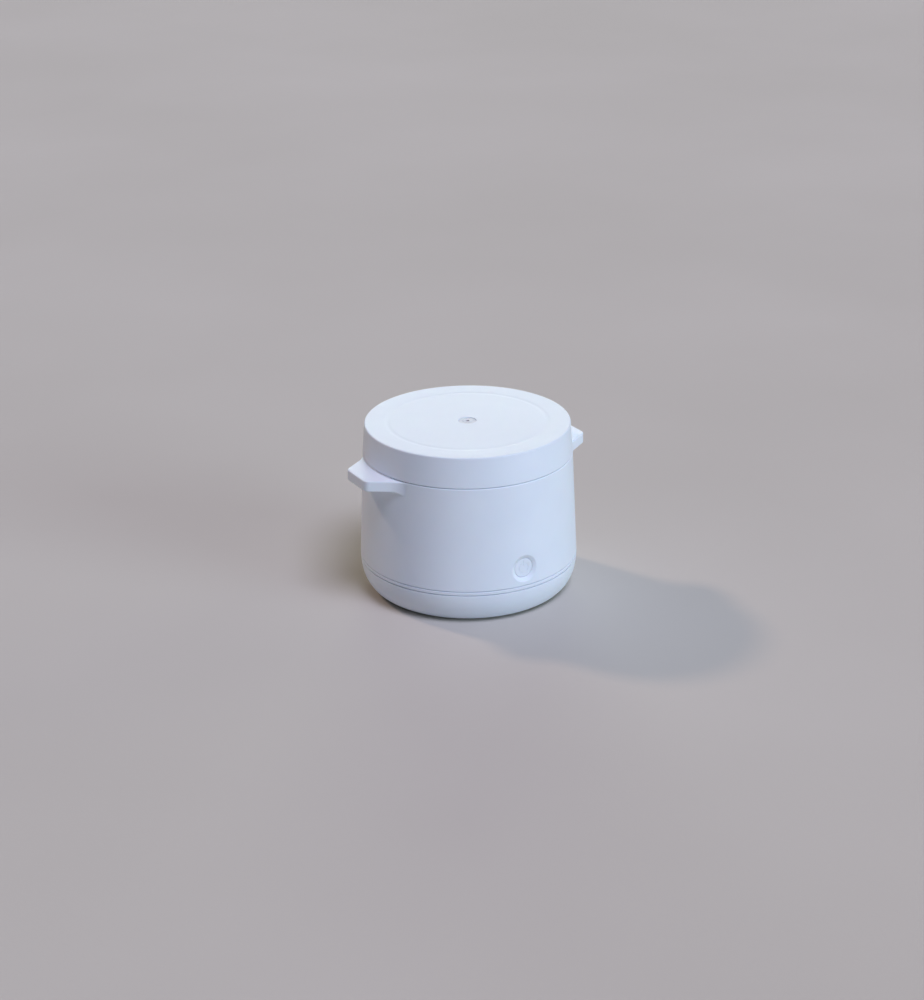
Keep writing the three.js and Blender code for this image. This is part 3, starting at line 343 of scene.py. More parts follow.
def two_looks(name, axis, limit, both_ways, first, second, patch, gloss, metal):
    """Two pairs of tints either side of a limit, and bare metal past it where metal is true."""
    pit, pit_depth = 0.4 * MM, 0.006 * MM
    finish, nodes, links, shader, place = begin_finish(name)
    patches = noise(nodes, links, place, patch)
    choice = beyond(nodes, links, place, axis, limit, both_ways)
    mix = nodes.new("ShaderNodeMix")
    mix.data_type = "RGBA"
    links.new(choice, mix.inputs["Factor"])
    links.new(tinted(nodes, links, patches, *first, 0.48, 0.52), mix.inputs["A"])
    links.new(tinted(nodes, links, patches, *second), mix.inputs["B"])
    links.new(mix.outputs["Result"], shader.inputs["Base Color"])
    links.new(between(nodes, links, patches, NOISE_LOW, NOISE_HIGH, *gloss), shader.inputs["Roughness"])
    bumped(nodes, links, shader, noise(nodes, links, place, pit), pit_depth)
    if metal:
        links.new(choice, shader.inputs["Metallic"])
    return finish


bare_end = 1.8 * MM
board_thickness = 1.6 * MM
out_of_reach = 1.0
sleeve_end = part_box("cell_2")[1].x - bare_end
board_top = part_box("control_board")[0].z + board_thickness
sleeve_blue = ((0.02, 0.07, 0.2), (0.03, 0.09, 0.25))
bare_can = ((0.5, 0.5, 0.5), (0.6, 0.6, 0.6))
board_mask = ((0.01, 0.09, 0.045), (0.02, 0.16, 0.08))
part_black = ((0.015, 0.015, 0.016), (0.04, 0.04, 0.042))
cell_sleeve = two_looks(
    "cell_sleeve", "X", sleeve_end, True, sleeve_blue, bare_can, 14 * MM, (0.2, 0.3), True
)
control_green = two_looks(
    "control_green", "Z", board_top, False, board_mask, part_black, 4 * MM, (0.25, 0.4), False
)
side_green = two_looks(
    "side_green", "Z", out_of_reach, False, board_mask, part_black, 3 * MM, (0.25, 0.4), False
)
print("sleeve ends at", round(sleeve_end / MM, 2), "mm, board top at", round(board_top / MM, 2), "mm")

# %% [markdown]
# ### Heater foil
#
# The heating element is a copper track under amber film. The real track winds back and forth, but it can't
# be seen with the warmer closed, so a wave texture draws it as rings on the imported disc.

# %% Heater foil
def foil_track(name, pitch):
    """Copper rings under amber film."""
    finish, nodes, links, shader, place = begin_finish(name)
    track = nodes.new("ShaderNodeTexWave")
    track.wave_type = "RINGS"
    track.rings_direction = "Z"
    track.inputs["Scale"].default_value = 1 / (2 * pitch)
    track.inputs["Distortion"].default_value = 0.4
    links.new(place, track.inputs["Vector"])
    waves = track.outputs["Fac"]
    copper, amber = (0.5, 0.2, 0.06), (0.75, 0.42, 0.1)
    links.new(tinted(nodes, links, waves, copper, amber, 0.45, 0.55), shader.inputs["Base Color"])
    links.new(between(nodes, links, waves, 0.4, 0.6, 0.2, 0.35), shader.inputs["Roughness"])
    bumped(nodes, links, shader, waves, 0.03 * MM)
    return finish


heater_foil = foil_track("heater_foil", 1.5 * MM)
print("finishes made:", len(bpy.data.materials))

# %% [markdown]
# ## Floor
#
# The floor is plain, pale and matt, with a faint tooth so that it isn't a flat colour. One large face does
# for it. It lies a hair under the feet, so that no two faces share a plane.

# %% Floor
floor_half = 8.0
floor_drop = 0.02 * MM
floor_patch = 0.4
shape = bmesh.new()
bmesh.ops.create_grid(
    shape, x_segments=1, y_segments=1, size=floor_half, matrix=Matrix.Translation((0, 0, -floor_drop))
)
floor_mesh = bpy.data.meshes.new("floor")
shape.to_mesh(floor_mesh)
shape.free()
floor = bpy.data.objects.new("floor", floor_mesh)
floor_mesh.materials.append(
    moulded(
        "floor_paint", (0.53, 0.505, 0.47), (0.57, 0.545, 0.51),
        floor_patch, (0.85, 0.95), 1.5 * MM, 0.03 * MM, Specular_IOR_Level=0.1,
    )
)
scene.collection.objects.link(floor)
floor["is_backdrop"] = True
print("floor width in m:", 2 * floor_half)

# %% [markdown]
# ## Light
#
# Cool light from above and from the right falls on the lid and the front. The left side is in half shade,
# and a smaller warm light from the left and behind gives that edge a rim and throws the ear's shadow down
# the wall. Area lamps could do this, but they light a wide floor unevenly. Sun lamps with a wide angle are
# as soft, and light all of it alike. Angles count from the camera. The picture uses the plain curve of a
# camera, because a filmic one greys a white object.

# %% Lights
middle = Vector((0, 0, lid_high.z / 2))


def soft_light(name, side, rise, spread, power, tint):
    """A wide, even, far light. Side counts from the camera to the right, rise from the floor up."""
    lamp = bpy.data.lights.new(name, "SUN")
    lamp.angle = math.radians(spread)
    lamp.energy = power
    lamp.color = tint
    around = math.radians(side) - math.pi / 2 - photo_turn
    up = math.radians(rise)
    way = Vector((math.cos(around) * math.cos(up), math.sin(around) * math.cos(up), math.sin(up)))
    holder = bpy.data.objects.new(name, lamp)
    holder.location = middle + way
    holder.rotation_euler = (-way).to_track_quat("-Z", "Y").to_euler()
    scene.collection.objects.link(holder)


soft_light("front_box", 29, 62, 26, 1.88, (0.75, 0.77, 1.0))
soft_light("right_window", 60, 12, 28, 1.3, (0.75, 0.91, 1.0))
soft_light("right_edge", 120, 12, 28, 0.21, (1.0, 1.0, 0.6))
soft_light("back_window", 180, 12, 28, 0.85, (0.85, 1.0, 0.86))
soft_light("left_rim", -125, 38, 6, 0.78, (1.0, 0.72, 0.53))
sky_tint = (0.9, 0.95, 1.0, 1)
sky_strength = 0.11
sky = bpy.data.worlds.new("sky")
sky.use_nodes = True
background = sky.node_tree.nodes["Background"]
background.inputs["Color"].default_value = sky_tint
background.inputs["Strength"].default_value = sky_strength
scene.world = sky
scene.view_settings.view_transform = "Standard"
print("lights:", [lamp.name for lamp in bpy.data.lights])

# %% [markdown]
# ## Turning a piece
#
# Nearly every piece is round, so it is drawn as an outline and spun about the axis. A corner is written
# with its fillet, because rounding it in the outline is cleaner than a bevel on the finished mesh. Beside
# each fillet the outline gets a short holding run, which keeps the shading of the long faces flat.

# %% Outline helper
HOLD = 0.2 * MM


def arc(centre, radius, start, end, steps):
    """Points of an arc, angles in radians."""
    for step in range(steps + 1):
        angle = start + (end - start) * step / steps
        yield Vector((centre[0] + radius * math.cos(angle), centre[1] + radius * math.sin(angle)))


def rounded(corners, steps=5):
    """Points of a closed outline. A corner is (across, up) or (across, up, fillet)."""
    points = []
    count = len(corners)
    for i, corner in enumerate(corners):
        here = Vector(corner[:2])
        fillet = corner[2] if len(corner) > 2 else 0
        back = Vector(corners[i - 1][:2]) - here
        ahead = Vector(corners[(i + 1) % count][:2]) - here
        if not fillet:
            points.append(here)
            continue
        half = back.angle(ahead) / 2
        reach = fillet / math.tan(half)
        centre = here + (back.normalized() + ahead.normalized()).normalized() * fillet / math.sin(half)
        begin, end = [here + way.normalized() * reach - centre for way in (back, ahead)]
        first = math.atan2(begin.y, begin.x)
        sweep = (math.atan2(end.y, end.x) - first + math.pi) % (2 * math.pi) - math.pi
        if back.length > 2 * reach + 4 * HOLD:
            points.append(centre + begin + back.normalized() * HOLD)
        points += arc(centre, fillet, first, first + sweep, steps)
        if ahead.length > 2 * reach + 4 * HOLD:
            points.append(centre + end + ahead.normalized() * HOLD)
    return points


# %% [markdown]
# The spin operator sweeps the outline round. It leaves doubles where the outline touches the axis, so they
# are merged, and then the faces are turned outwards.

# %% Spin helper
SHELL_STEPS = 240
SMALL_STEPS = 64
MERGE = 0.001 * MM


def turned(outline, steps=SHELL_STEPS, angle=2 * math.pi):
    """Spins an outline of (across, up) points about Z. It stays open if it starts and ends on the axis."""
    shape = bmesh.new()
    corners = [shape.verts.new((across, 0, up)) for across, up in outline]
    edges = [shape.edges.new(pair) for pair in zip(corners, corners[1:])]
    if outline[0][0] > 0:
        edges.append(shape.edges.new((corners[-1], corners[0])))
    whole = math.isclose(angle, 2 * math.pi)
    bmesh.ops.spin(
        shape, geom=corners + edges, cent=(0, 0, 0), axis=(0, 0, 1), angle=angle, steps=steps, use_merge=whole
    )
    bmesh.ops.remove_doubles(shape, verts=shape.verts, dist=MERGE)
    if not whole:
        bmesh.ops.holes_fill(shape, edges=shape.edges, sides=0)
    bmesh.ops.recalc_face_normals(shape, faces=shape.faces)
    return shape


# %% [markdown]
# A finished shape becomes an object that wears its finish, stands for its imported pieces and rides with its
# body. Faces shade smoothly except across edges sharper than 35 degrees.

# %% Piece helper
crease = math.radians(35)


def finished(name, shape, finish, slot, body, *nodes):
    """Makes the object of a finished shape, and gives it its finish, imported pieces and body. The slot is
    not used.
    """
    shape.normal_update()
    for face in shape.faces:
        face.smooth = True
    for edge in shape.edges:
        edge.smooth = edge.calc_face_angle(0) < crease
    mesh = bpy.data.meshes.new(name)
    shape.to_mesh(mesh)
    shape.free()
    mesh.materials.append(finish)
    piece = bpy.data.objects.new(name, mesh)
    scene.collection.objects.link(piece)
    if nodes:
        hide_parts(*nodes)
    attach(piece, body)
    print(name, "faces:", len(mesh.polygons))
    return piece


# %% [markdown]
# ## Cutting and gathering
#
# Holes and recesses are cut with a Boolean modifier on a throwaway pair of objects, and the result goes on
# as a bmesh. Shapes of one moulding that only meet inside the wall are simply gathered into one mesh,
# which spares a Boolean and keeps their faces clean. Bosses and guides that only show with the shell apart
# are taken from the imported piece, by cutting its outside away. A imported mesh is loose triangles, so the
# copy is merged first.

# %% Cutting and gathering helpers
def carved(shape, *tools):
    """The shape less each tool."""
    for tool in tools:
        pair = []
        for source in (shape, tool):
            mesh = bpy.data.meshes.new("carving")
            source.to_mesh(mesh)
            source.free()
            pair.append(bpy.data.objects.new("carving", mesh))
            scene.collection.objects.link(pair[-1])
        cut = pair[0].modifiers.new("cut", "BOOLEAN")
        cut.operation = "DIFFERENCE"
        cut.solver = "EXACT"
        cut.object = pair[1]
        shape = bmesh.new()
        shape.from_object(pair[0], bpy.context.evaluated_depsgraph_get())
        for piece in pair:
            bpy.data.objects.remove(piece)
    return shape


def gathered(shape, *others):
    """One bmesh that holds all the shapes."""
    for other in others:
        mesh = bpy.data.meshes.new("gathering")
        other.to_mesh(mesh)
        other.free()
        shape.from_mesh(mesh)
        bpy.data.meshes.remove(mesh)
    return shape


def moved(shape, matrix):
    """Turns and moves a shape."""
    bmesh.ops.transform(shape, matrix=matrix, verts=shape.verts)
    return shape


def packed_inside(name, *tools):
    """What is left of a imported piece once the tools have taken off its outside."""
    shape = bmesh.new()
    shape.from_mesh(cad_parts[name].data)
    moved(shape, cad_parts[name].matrix_world)
    bmesh.ops.remove_doubles(shape, verts=shape.verts, dist=MERGE)
    return carved(shape, *tools)


# %% [markdown]
# ## Boxes and rods
#
# The few square pieces and most cutting tools are cubes and cylinders. The bevel operator rounds their
# edges, all of them or only the ones that run one way, which a test of their ends picks out.

# %% Box and rod helpers
def rod(radius, depth, steps):
    """An upright cylinder about the origin."""
    shape = bmesh.new()
    bmesh.ops.create_cone(
        shape, cap_ends=True, segments=steps, radius1=radius, radius2=radius, depth=depth
    )
    return shape


def centred_on(shape, box):
    """Moves a shape from the Z axis to the middle of a packed box."""
    centre = (box[0] + box[1]) / 2
    return moved(shape, Matrix.Translation((centre.x, centre.y, 0)))


def edges_rounded(shape, edges, reach, steps):
    """Rounds the edges of a shape that are given."""
    bmesh.ops.bevel(
        shape, geom=edges, offset=reach, segments=steps, profile=0.5, affect="EDGES", material=-1
    )
    return shape


def box_shape(low, high, edge=0.0):
    """A box between two corners, with its edges rounded where a size is given."""
    shape = bmesh.new()
    bmesh.ops.create_cube(shape, size=1)
    low, high = Vector(low), Vector(high)
    bmesh.ops.scale(shape, vec=high - low, verts=shape.verts)
    bmesh.ops.translate(shape, vec=(low + high) / 2, verts=shape.verts)
    return edges_rounded(shape, shape.edges, edge, 3) if edge else shape


def slot_shape(low, high, corner, steps):
    """A box with its four edges along Y rounded."""
    shape = box_shape(low, high)
    along = [edge for edge in shape.edges if abs(edge.verts[0].co.y - edge.verts[1].co.y) > MM]
    return edges_rounded(shape, along, corner, steps)


# %% [markdown]
# ## Lid
#
# The lid is a moulded cap with a crisp rounded edge and a slight draft. Its top has a shallow soft channel
# and a dimple for the vent, and a small bead inside its skirt holds the liner. All of that is round, so
# one outline has it all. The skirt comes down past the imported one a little, which makes the seam as fine
# as it looks in the photograph.

# %% Lid shell
lid_draft = 1.34 * MM
lid_plate = 2.2 * MM
skirt_room = 0.7 * MM
seam_cover = 0.2 * MM
ring_inset = 13.0 * MM
ring_half = 2.2 * MM
ring_depth = 0.1 * MM
vent_hole = 3.1 * MM
dimple_radius = 5.0 * MM
dimple_depth = 1.2 * MM
bead_depth = 0.5 * MM
bead_drop = 1.4 * MM

lid_top_radius = seam_radius - lid_draft
skirt_inner = neck_outer + skirt_room
skirt_foot = lid_low.z - seam_cover
ceiling = lid_high.z - lid_plate
dimple_floor = lid_high.z - dimple_depth
ring_middle = lid_top_radius - ring_inset
bead_top = ceiling - bead_drop


def channel(steps=14):
    """Corners of the soft channel, from its outer edge inwards."""
    for step in range(steps + 1):
        share = step / steps
        dip = ring_depth * (1 - math.cos(2 * math.pi * share)) / 2
        yield ring_middle + ring_half * (1 - 2 * share), lid_high.z - dip


lid_outline = rounded([
    (vent_hole, ceiling),
    (skirt_inner, ceiling, 0.6 * MM),
    (skirt_inner, bead_top),
    (skirt_inner - bead_depth, bead_top - bead_depth, 0.2 * MM),
    (skirt_inner, bead_top - 2 * bead_depth),
    (skirt_inner, skirt_foot, 0.3 * MM),
    (seam_radius, skirt_foot, 0.25 * MM),
    (lid_top_radius, lid_high.z, 0.7 * MM),
    *channel(),
    (dimple_radius, lid_high.z, 0.35 * MM),
    (dimple_radius, dimple_floor, 0.25 * MM),
    (vent_hole, dimple_floor, 0.15 * MM),
])
finished("lid_moulding", turned(lid_outline), shell_white, "shell", "lid", "lid_shell")

# %% [markdown]
# ## Vent plug
#
# Steam leaves through a silicone plug in the dimple. It is turned too, with a small collar round its bore.

# %% Vent plug
vent_low, vent_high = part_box("vent_plug")
vent_gap = 0.1 * MM
vent_bore = 1.1 * MM
vent_stem = 2.8 * MM
vent_flange = 0.8 * MM
collar_height = 0.25 * MM
collar_foot = 3.0 * MM
collar_crown = 2.5 * MM

vent_radius = dimple_radius - vent_gap
vent_under = vent_high.z - vent_flange
vent_face = vent_high.z - collar_height
vent_outline = rounded([
    (vent_bore, vent_low.z, 0.1 * MM),
    (vent_stem, vent_low.z, 0.3 * MM),
    (vent_stem, vent_under),
    (vent_radius, vent_under, 0.15 * MM),
    (vent_radius, vent_face, 0.25 * MM),
    (collar_foot, vent_face, 0.2 * MM),
    (collar_crown, vent_high.z, 0.2 * MM),
    (vent_bore, vent_high.z, 0.3 * MM),
])
finished("vent_plug_fine", turned(vent_outline, SMALL_STEPS), milky_silicone, "silicone", "lid", "vent_plug")

# %% [markdown]
# ## Lid liner
#
# With the lid off, its underside shows a dished liner. It is a thin moulding, so the outline goes out
# along its underside and back along its top, and the spin gives a closed shell with no Solidify modifier.

# %% Lid liner
liner_low, liner_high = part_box("lid_liner")
liner_flange = 0.8 * MM
liner_wall = 1.2 * MM
snap_out = 0.6 * MM
snap_up = 0.4 * MM
lip_reach = 0.7 * MM
gasket_wall = 1.9 * MM

flange_bottom = liner_high.z - liner_flange
gasket_lip = bowl_inner - seat
gasket_outer = gasket_lip - lip_reach
gasket_inner = gasket_outer - gasket_wall
dish_radius = gasket_inner - seat
liner_outline = rounded([
    (vent_hole, liner_low.z, 0.2 * MM),
    (dish_radius + snap_out, liner_low.z, 0.15 * MM),
    (dish_radius, liner_low.z + snap_up),
    (dish_radius, flange_bottom, 0.3 * MM),
    (liner_high.x, flange_bottom, 0.2 * MM),
    (liner_high.x, liner_high.z, 0.2 * MM),
    (dish_radius - liner_wall, liner_high.z),
    (dish_radius - liner_wall, liner_low.z + liner_wall, 0.6 * MM),
    (vent_hole, liner_low.z + liner_wall),
])
finished("liner_fine", turned(liner_outline), inner_white, "inner_plastic", "lid", "lid_liner")

# %% [markdown]
# ## Lid gasket
#
# A silicone ring hangs under the liner, and its two lips press on the mouth of the bowl. They are two
# small teeth of the outline, each one lip's height tall.

# %% Lid gasket
gasket_low, gasket_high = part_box("lid_gasket")
gasket_flange = 1.2 * MM
lip = 0.4 * MM
flange_under = gasket_high.z - gasket_flange
gasket_outline = rounded([
    (gasket_inner, gasket_low.z, 0.15 * MM),
    (gasket_outer, gasket_low.z),
    (gasket_lip, gasket_low.z + lip, 0.12 * MM),
    (gasket_outer, gasket_low.z + 2 * lip, 0.1 * MM),
    (gasket_outer, gasket_low.z + 3 * lip, 0.1 * MM),
    (gasket_lip, gasket_low.z + 4 * lip, 0.12 * MM),
    (gasket_outer, gasket_low.z + 5 * lip),
    (gasket_outer, flange_under, 0.2 * MM),
    (gasket_high.x, flange_under, 0.3 * MM),
    (gasket_high.x, gasket_high.z, 0.3 * MM),
    (gasket_inner, gasket_high.z, 0.15 * MM),
])
finished("gasket_fine", turned(gasket_outline), milky_silicone, "silicone", "lid", "lid_gasket")

# %% [markdown]
# ## Body wall
#
# The wall leans in towards the lid and ends in a soft shoulder, and a neck rises inside the lid. It is
# spun first, and cut where the button's surround goes in and where the charging inlet has its recess. A
# second spin fills everything from the wall's inner face outwards, and takes the outside off the packed
# body.

# %% Body wall
wall_thickness = 2.8 * MM
shoulder_wall = 2.4 * MM
register_inset = 1.8 * MM
register_height = 3.0 * MM
past_ears = 80 * MM

register_radius = foot_radius - register_inset
register_top = body_bottom + register_height
shoulder_under = body_top - shoulder_wall
wall_outline = rounded([
    (register_radius, body_bottom, 0.15 * MM),
    (foot_radius, body_bottom, 0.22 * MM),
    (seam_radius, body_top, 0.75 * MM),
    (neck_outer, body_top, 0.3 * MM),
    (neck_outer, body_high.z, 0.5 * MM),
    (neck_inner, body_high.z, 0.4 * MM),
    (neck_inner, shoulder_under),
    (wall_radius(shoulder_under) - wall_thickness, shoulder_under),
    (wall_radius(register_top) - wall_thickness, register_top),
    (register_radius, register_top),
])
wall = turned(wall_outline)
inner_margin = wall_thickness - skin
outside = turned([
    (0, shoulder_under - skin),
    (wall_radius(shoulder_under) - inner_margin, shoulder_under - skin),
    (wall_radius(0) - inner_margin, 0),
    (past_ears, 0),
    (past_ears, lid_high.z),
    (0, lid_high.z),
])
print("body wall from", round(body_bottom / MM, 2), "to", round(body_high.z / MM, 2), "mm")

# %% [markdown]
# ## Button surround
#
# A bevelled dish leads down to the round button. Cutting it into the round wall would leave ragged edges,
# so it is spun flat as a ring and stood up to face the front. Each point is then pushed back to the wall's
# curve, fully at the rim and not at all at the button. The ring fills the round hole that is cut in the
# wall for it.

# %% Button surround
button_low, button_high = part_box("button_cap")
button_radius = 5.4 * MM
dish_slope = 2.1 * MM
surround_radius = 8.9 * MM
surround_steps = 120
guide_wall = 1.3 * MM
pad_depth = 4.0 * MM
flange_depth = 1.6 * MM

button_centre = (button_low.z + button_high.z) / 2
button_plane = wall_radius(button_centre)
button_hole = button_radius + seat
dish_depth = button_plane + button_low.y
dish_rim = button_hole + dish_slope
surround_outline = rounded([
    (button_hole, -pad_depth),
    (button_hole, -dish_depth, 0.15 * MM),
    (dish_rim, 0, 0.9 * MM),
    *[(dish_rim + (surround_radius - dish_rim) * share, 0) for share in (0.5, 0.75)],
    (surround_radius, 0),
    (surround_radius, -flange_depth),
    (button_hole + guide_wall, -flange_depth),
    (button_hole + guide_wall, -pad_depth),
], steps=7)


def to_front(shape):
    """Stands a shape made on the Z axis up, so that its +Z faces the front at the button's height."""
    place = Matrix.Translation((0, -button_plane, button_centre))
    return moved(shape, place @ Matrix.Rotation(math.pi / 2, 4, "X"))


surround = to_front(turned(surround_outline, surround_steps))
for point in surround.verts:
    across = math.hypot(point.co.x, point.co.z - button_centre)
    share = min(max((across - button_hole) / (dish_rim - button_hole), 0), 1)
    curve = math.sqrt(wall_radius(point.co.z) ** 2 - point.co.x ** 2)
    point.co.y -= share * share * (3 - 2 * share) * (curve - button_plane)
print("button at", round(button_centre / MM, 2), "mm, dish", round(dish_depth / MM, 2), "mm deep")

# %% [markdown]
# ## Recess for the inlet
#
# At the back a flap lies in a square recess with a thumb notch above it. The recess goes right through the
# wall, and a pad behind it makes its floor and has the inlet's own opening. A recess cut only part of the
# way would leave its floor in one plane with the pad.

# %% Inlet recess
flap_low, flap_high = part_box("port_cover")
inlet_rise = 4.3 * MM
flap_half = 7.0 * MM
recess_depth = 2.4 * MM
port_pad_depth = 5.0 * MM
port_pad_half = 10.5 * MM
port_pad_margin = 2.2 * MM
past_wall = 3 * MM
notch_radius = 3.0 * MM
notch_length = 5 * MM
notch_out = 0.4 * MM
button_tool_length = 12 * MM
inlet_tool_reach = 8 * MM
inlet_corner = 1.6 * MM
socket_half_x = 4.47 * MM
socket_half_z = 1.63 * MM

port_centre = flap_low.z + inlet_rise
port_plane = wall_radius(port_centre)
recess_tool = box_shape(
    (-flap_half - seat, port_plane - port_pad_depth, flap_low.z - seat),
    (flap_half + seat, port_plane + past_wall, flap_high.z + seat),
)
notch_place = Matrix.Translation((0, port_plane + notch_out, flap_high.z + seat))
notch_tool = moved(rod(notch_radius, notch_length, 48), notch_place @ Matrix.Rotation(math.pi / 2, 4, "X"))
button_tool = to_front(rod(surround_radius, button_tool_length, surround_steps))
port_pad = box_shape(
    (-port_pad_half, port_plane - port_pad_depth, flap_low.z - port_pad_margin),
    (port_pad_half, port_plane - recess_depth, flap_high.z + port_pad_margin),
)
inlet_tool = slot_shape(
    (-socket_half_x - seat, port_plane - inlet_tool_reach, port_centre - socket_half_z - seat),
    (socket_half_x + seat, port_plane, port_centre + socket_half_z + seat),
    inlet_corner, 6,
)
wall = carved(wall, button_tool, recess_tool, notch_tool)
port_pad = carved(port_pad, inlet_tool)
print("inlet at", round(port_centre / MM, 2), "mm")

# %% [markdown]
# ## Bosses inside the body
#
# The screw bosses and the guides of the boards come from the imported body. Its wall goes, and so do its own
# pad and dish, where the finer ones stand.

# %% Bosses
pad_room_half = 10.3 * MM
pad_room_margin = 3 * MM
dish_room_half = 9 * MM
pad_room = box_shape(
    (-pad_room_half, port_plane - port_pad_depth - skin, flap_low.z - pad_room_margin),
    (pad_room_half, port_plane, flap_high.z + pad_room_margin),
)
dish_room = box_shape(
    (-dish_room_half, -button_plane, body_bottom),
    (dish_room_half, -button_plane + pad_depth + skin, button_centre + dish_room_half),
)
bosses = packed_inside("body_shell", outside, pad_room, dish_room)
print("boss faces:", len(bosses.faces))

# %% [markdown]
# ## Ears
#
# The ears are flat plates moulded with the wall. In plan each has a short straight tip, rounded corners,
# sides that flare by 34 degrees and a wide fillet into the wall. Underneath, a smaller fillet runs into
# the wall. With an extruded plate and a bevel, the place where the two fillets meet is hard to control, so
# a grid makes the ear: its columns follow the plan outline, and its rows go round the section from the top
# over the edge and back under it.

# %% Ear outline
ear_drop = 0.6 * MM
ear_thickness = 6.0 * MM
ear_tip_half = 10.6 * MM
ear_flare = math.radians(34)
ear_corner = 4.4 * MM
ear_root_fillet = 18.0 * MM
ear_under_fillet = 2.2 * MM
ear_edge = 0.6 * MM
straight_steps = 6

ear_top = body_top - ear_drop
ear_bottom = ear_top - ear_thickness
ear_tip = body_high.x
ear_wall = wall_radius(ear_top)


def ear_side():
    """Plan points of half an ear, from the middle of its tip to where it meets the wall."""
    across = Vector((math.sin(ear_flare), math.cos(ear_flare)))
    along = Vector((-math.cos(ear_flare), math.sin(ear_flare)))
    corner_y = ear_tip_half - ear_corner * (1 - math.sin(ear_flare)) / math.cos(ear_flare)
    offset = across.x * ear_tip + across.y * ear_tip_half + ear_root_fillet
    run = math.sqrt((ear_wall + ear_root_fillet) ** 2 - offset ** 2)
    root = across * offset - along * run
    tip = [Vector((ear_tip, corner_y * share / straight_steps)) for share in range(straight_steps)]
    corner = list(arc((ear_tip - ear_corner, corner_y), ear_corner, 0, math.pi / 2 - ear_flare, 8))
    root_angle = math.atan2(root.y, root.x)
    fillet = list(arc(root, ear_root_fillet, 1.5 * math.pi - ear_flare, math.pi + root_angle, 14))
    side = [corner[-1].lerp(fillet[0], share / straight_steps) for share in range(1, straight_steps)]
    return tip + corner + side + fillet


half_plan = ear_side()
plan = [Vector((point.x, -point.y)) for point in reversed(half_plan[1:])] + half_plan
print("ear columns:", len(plan), "root half width in mm:", round(half_plan[-1].y / MM, 1))

# %% [markdown]
# One section of the ear is a closed loop, because it also runs back inside the wall. At an end of the plan
# the reach is nothing, so the side face leans with the wall there, a hair inside it. Where the reach is
# less than the lower fillet, the rounding under the side face runs straight into that fillet.

# %% Ear section
ear_sink = 1.0 * MM
ear_blend = 3.0 * MM
ear_hair = 0.04 * MM
ear_hair_run = 1.0 * MM
top_shares = (0.33, 0.67, 0.97)
side_shares = (0.08, 0.36, 0.64, 0.92)


def ear_section(reach_out):
    """Loop of (across, up) where the plan lies at that distance from the axis."""
    reach = max(reach_out - ear_wall, 0)
    near = max(1 - reach / ear_blend, 0)

    def side(up):
        hair = ear_hair * max(1 - reach / ear_hair_run, 0)
        return reach_out + near * (wall_radius(up) - ear_wall) - hair

    inside = ear_wall - ear_sink
    upper = min(ear_edge, reach / 2)
    rim = side(ear_top) - upper
    loop = [Vector((inside, ear_top)), Vector((ear_wall, ear_top))]
    loop += [Vector((ear_wall + (rim - ear_wall) * share, ear_top)) for share in top_shares]
    loop += arc((rim, ear_top - upper), upper, math.pi / 2, 0, 5)
    under = ear_bottom - ear_under_fillet
    centre = Vector((wall_radius(under) + ear_under_fillet, under))
    low_rim = side(ear_bottom) - ear_edge
    aside = min(low_rim - centre.x, 0)
    rise = math.sqrt(max((ear_under_fillet + ear_edge) ** 2 - aside ** 2, 0))
    last = math.atan2(-rise, -aside)
    side_top = ear_top - upper
    side_low = centre.y + rise
    for share in side_shares:
        up = side_top + (side_low - side_top) * share
        loop.append(Vector((side(up), up)))
    loop += arc((low_rim, side_low), ear_edge, 0, last, 6)
    landing = centre + ear_under_fillet * Vector((math.cos(last + math.pi), math.sin(last + math.pi)))
    loop += [loop[-1].lerp(landing, share) for share in (0.04, 0.5)]
    loop += arc(centre, ear_under_fillet, last + math.pi, math.pi, 9)
    loop += [Vector((inside, centre.y)), Vector((inside, ear_top))]
    return loop


print("points in a section:", len(ear_section(ear_tip)))

# %% [markdown]
# The grid's own coordinates tell each point its column and row, and it is put where that section has it.
# The last row meets the first, so they are merged, at half the usual distance because the points lie close
# there. The two ends of the ear are open inside the wall, and are filled.

# %% Ear
ear_merge = 0.0005 * MM


def ear(side):
    """One ear on the +X or the -X side."""
    columns = len(plan)
    rows = len(ear_section(ear_tip))
    shape = bmesh.new()
    bmesh.ops.create_grid(shape, x_segments=columns - 1, y_segments=rows - 1, size=1)
    sections = [ear_section(point.length) for point in plan]
    for point in shape.verts:
        column = round((point.co.x + 1) / 2 * (columns - 1))
        row = round((point.co.y + 1) / 2 * (rows - 1))
        across, up = sections[column][row]
        heading = plan[column].normalized() * side
        point.co = (heading.x * across, heading.y * across, up)
    bmesh.ops.remove_doubles(shape, verts=shape.verts, dist=ear_merge)
    bmesh.ops.holes_fill(shape, edges=shape.edges, sides=0)
    bmesh.ops.recalc_face_normals(shape, faces=shape.faces)
    return shape


ears = [ear(1), ear(-1)]
print("faces of an ear:", len(ears[0].faces))

# %% [markdown]
# ## Body
#
# The real body is one moulding, so its wall, surround, pad, ears and bosses become one piece. They only
# meet inside the wall, so they are gathered and not joined by a Boolean.

# %% Body
body = gathered(wall, surround, port_pad, *ears, bosses)
finished("body_moulding", body, shell_white, "shell", "housing", "body_shell")

# %% [markdown]
# ## Trim band
#
# A thin band sits between two fine grooves. Its edges are soft, so they catch a bright line. The grooves
# are gaps between the band and its neighbours, with a land behind them, as on the real thing.

# %% Trim band
groove_height = 0.2 * MM
groove_depth = 0.32 * MM
trim_edge = 0.18 * MM
trim_bottom = trim_low.z + groove_height
trim_top = trim_high.z - groove_height
land = foot_radius - groove_depth
trim_outline = rounded([
    (register_radius, trim_low.z),
    (land, trim_low.z),
    (land, trim_bottom),
    (foot_radius, trim_bottom, trim_edge),
    (foot_radius, trim_top, trim_edge),
    (land, trim_top),
    (land, trim_high.z),
    (register_radius, trim_high.z),
])
finished("trim_band", turned(trim_outline), shell_white, "shell", "housing", "trim_ring")

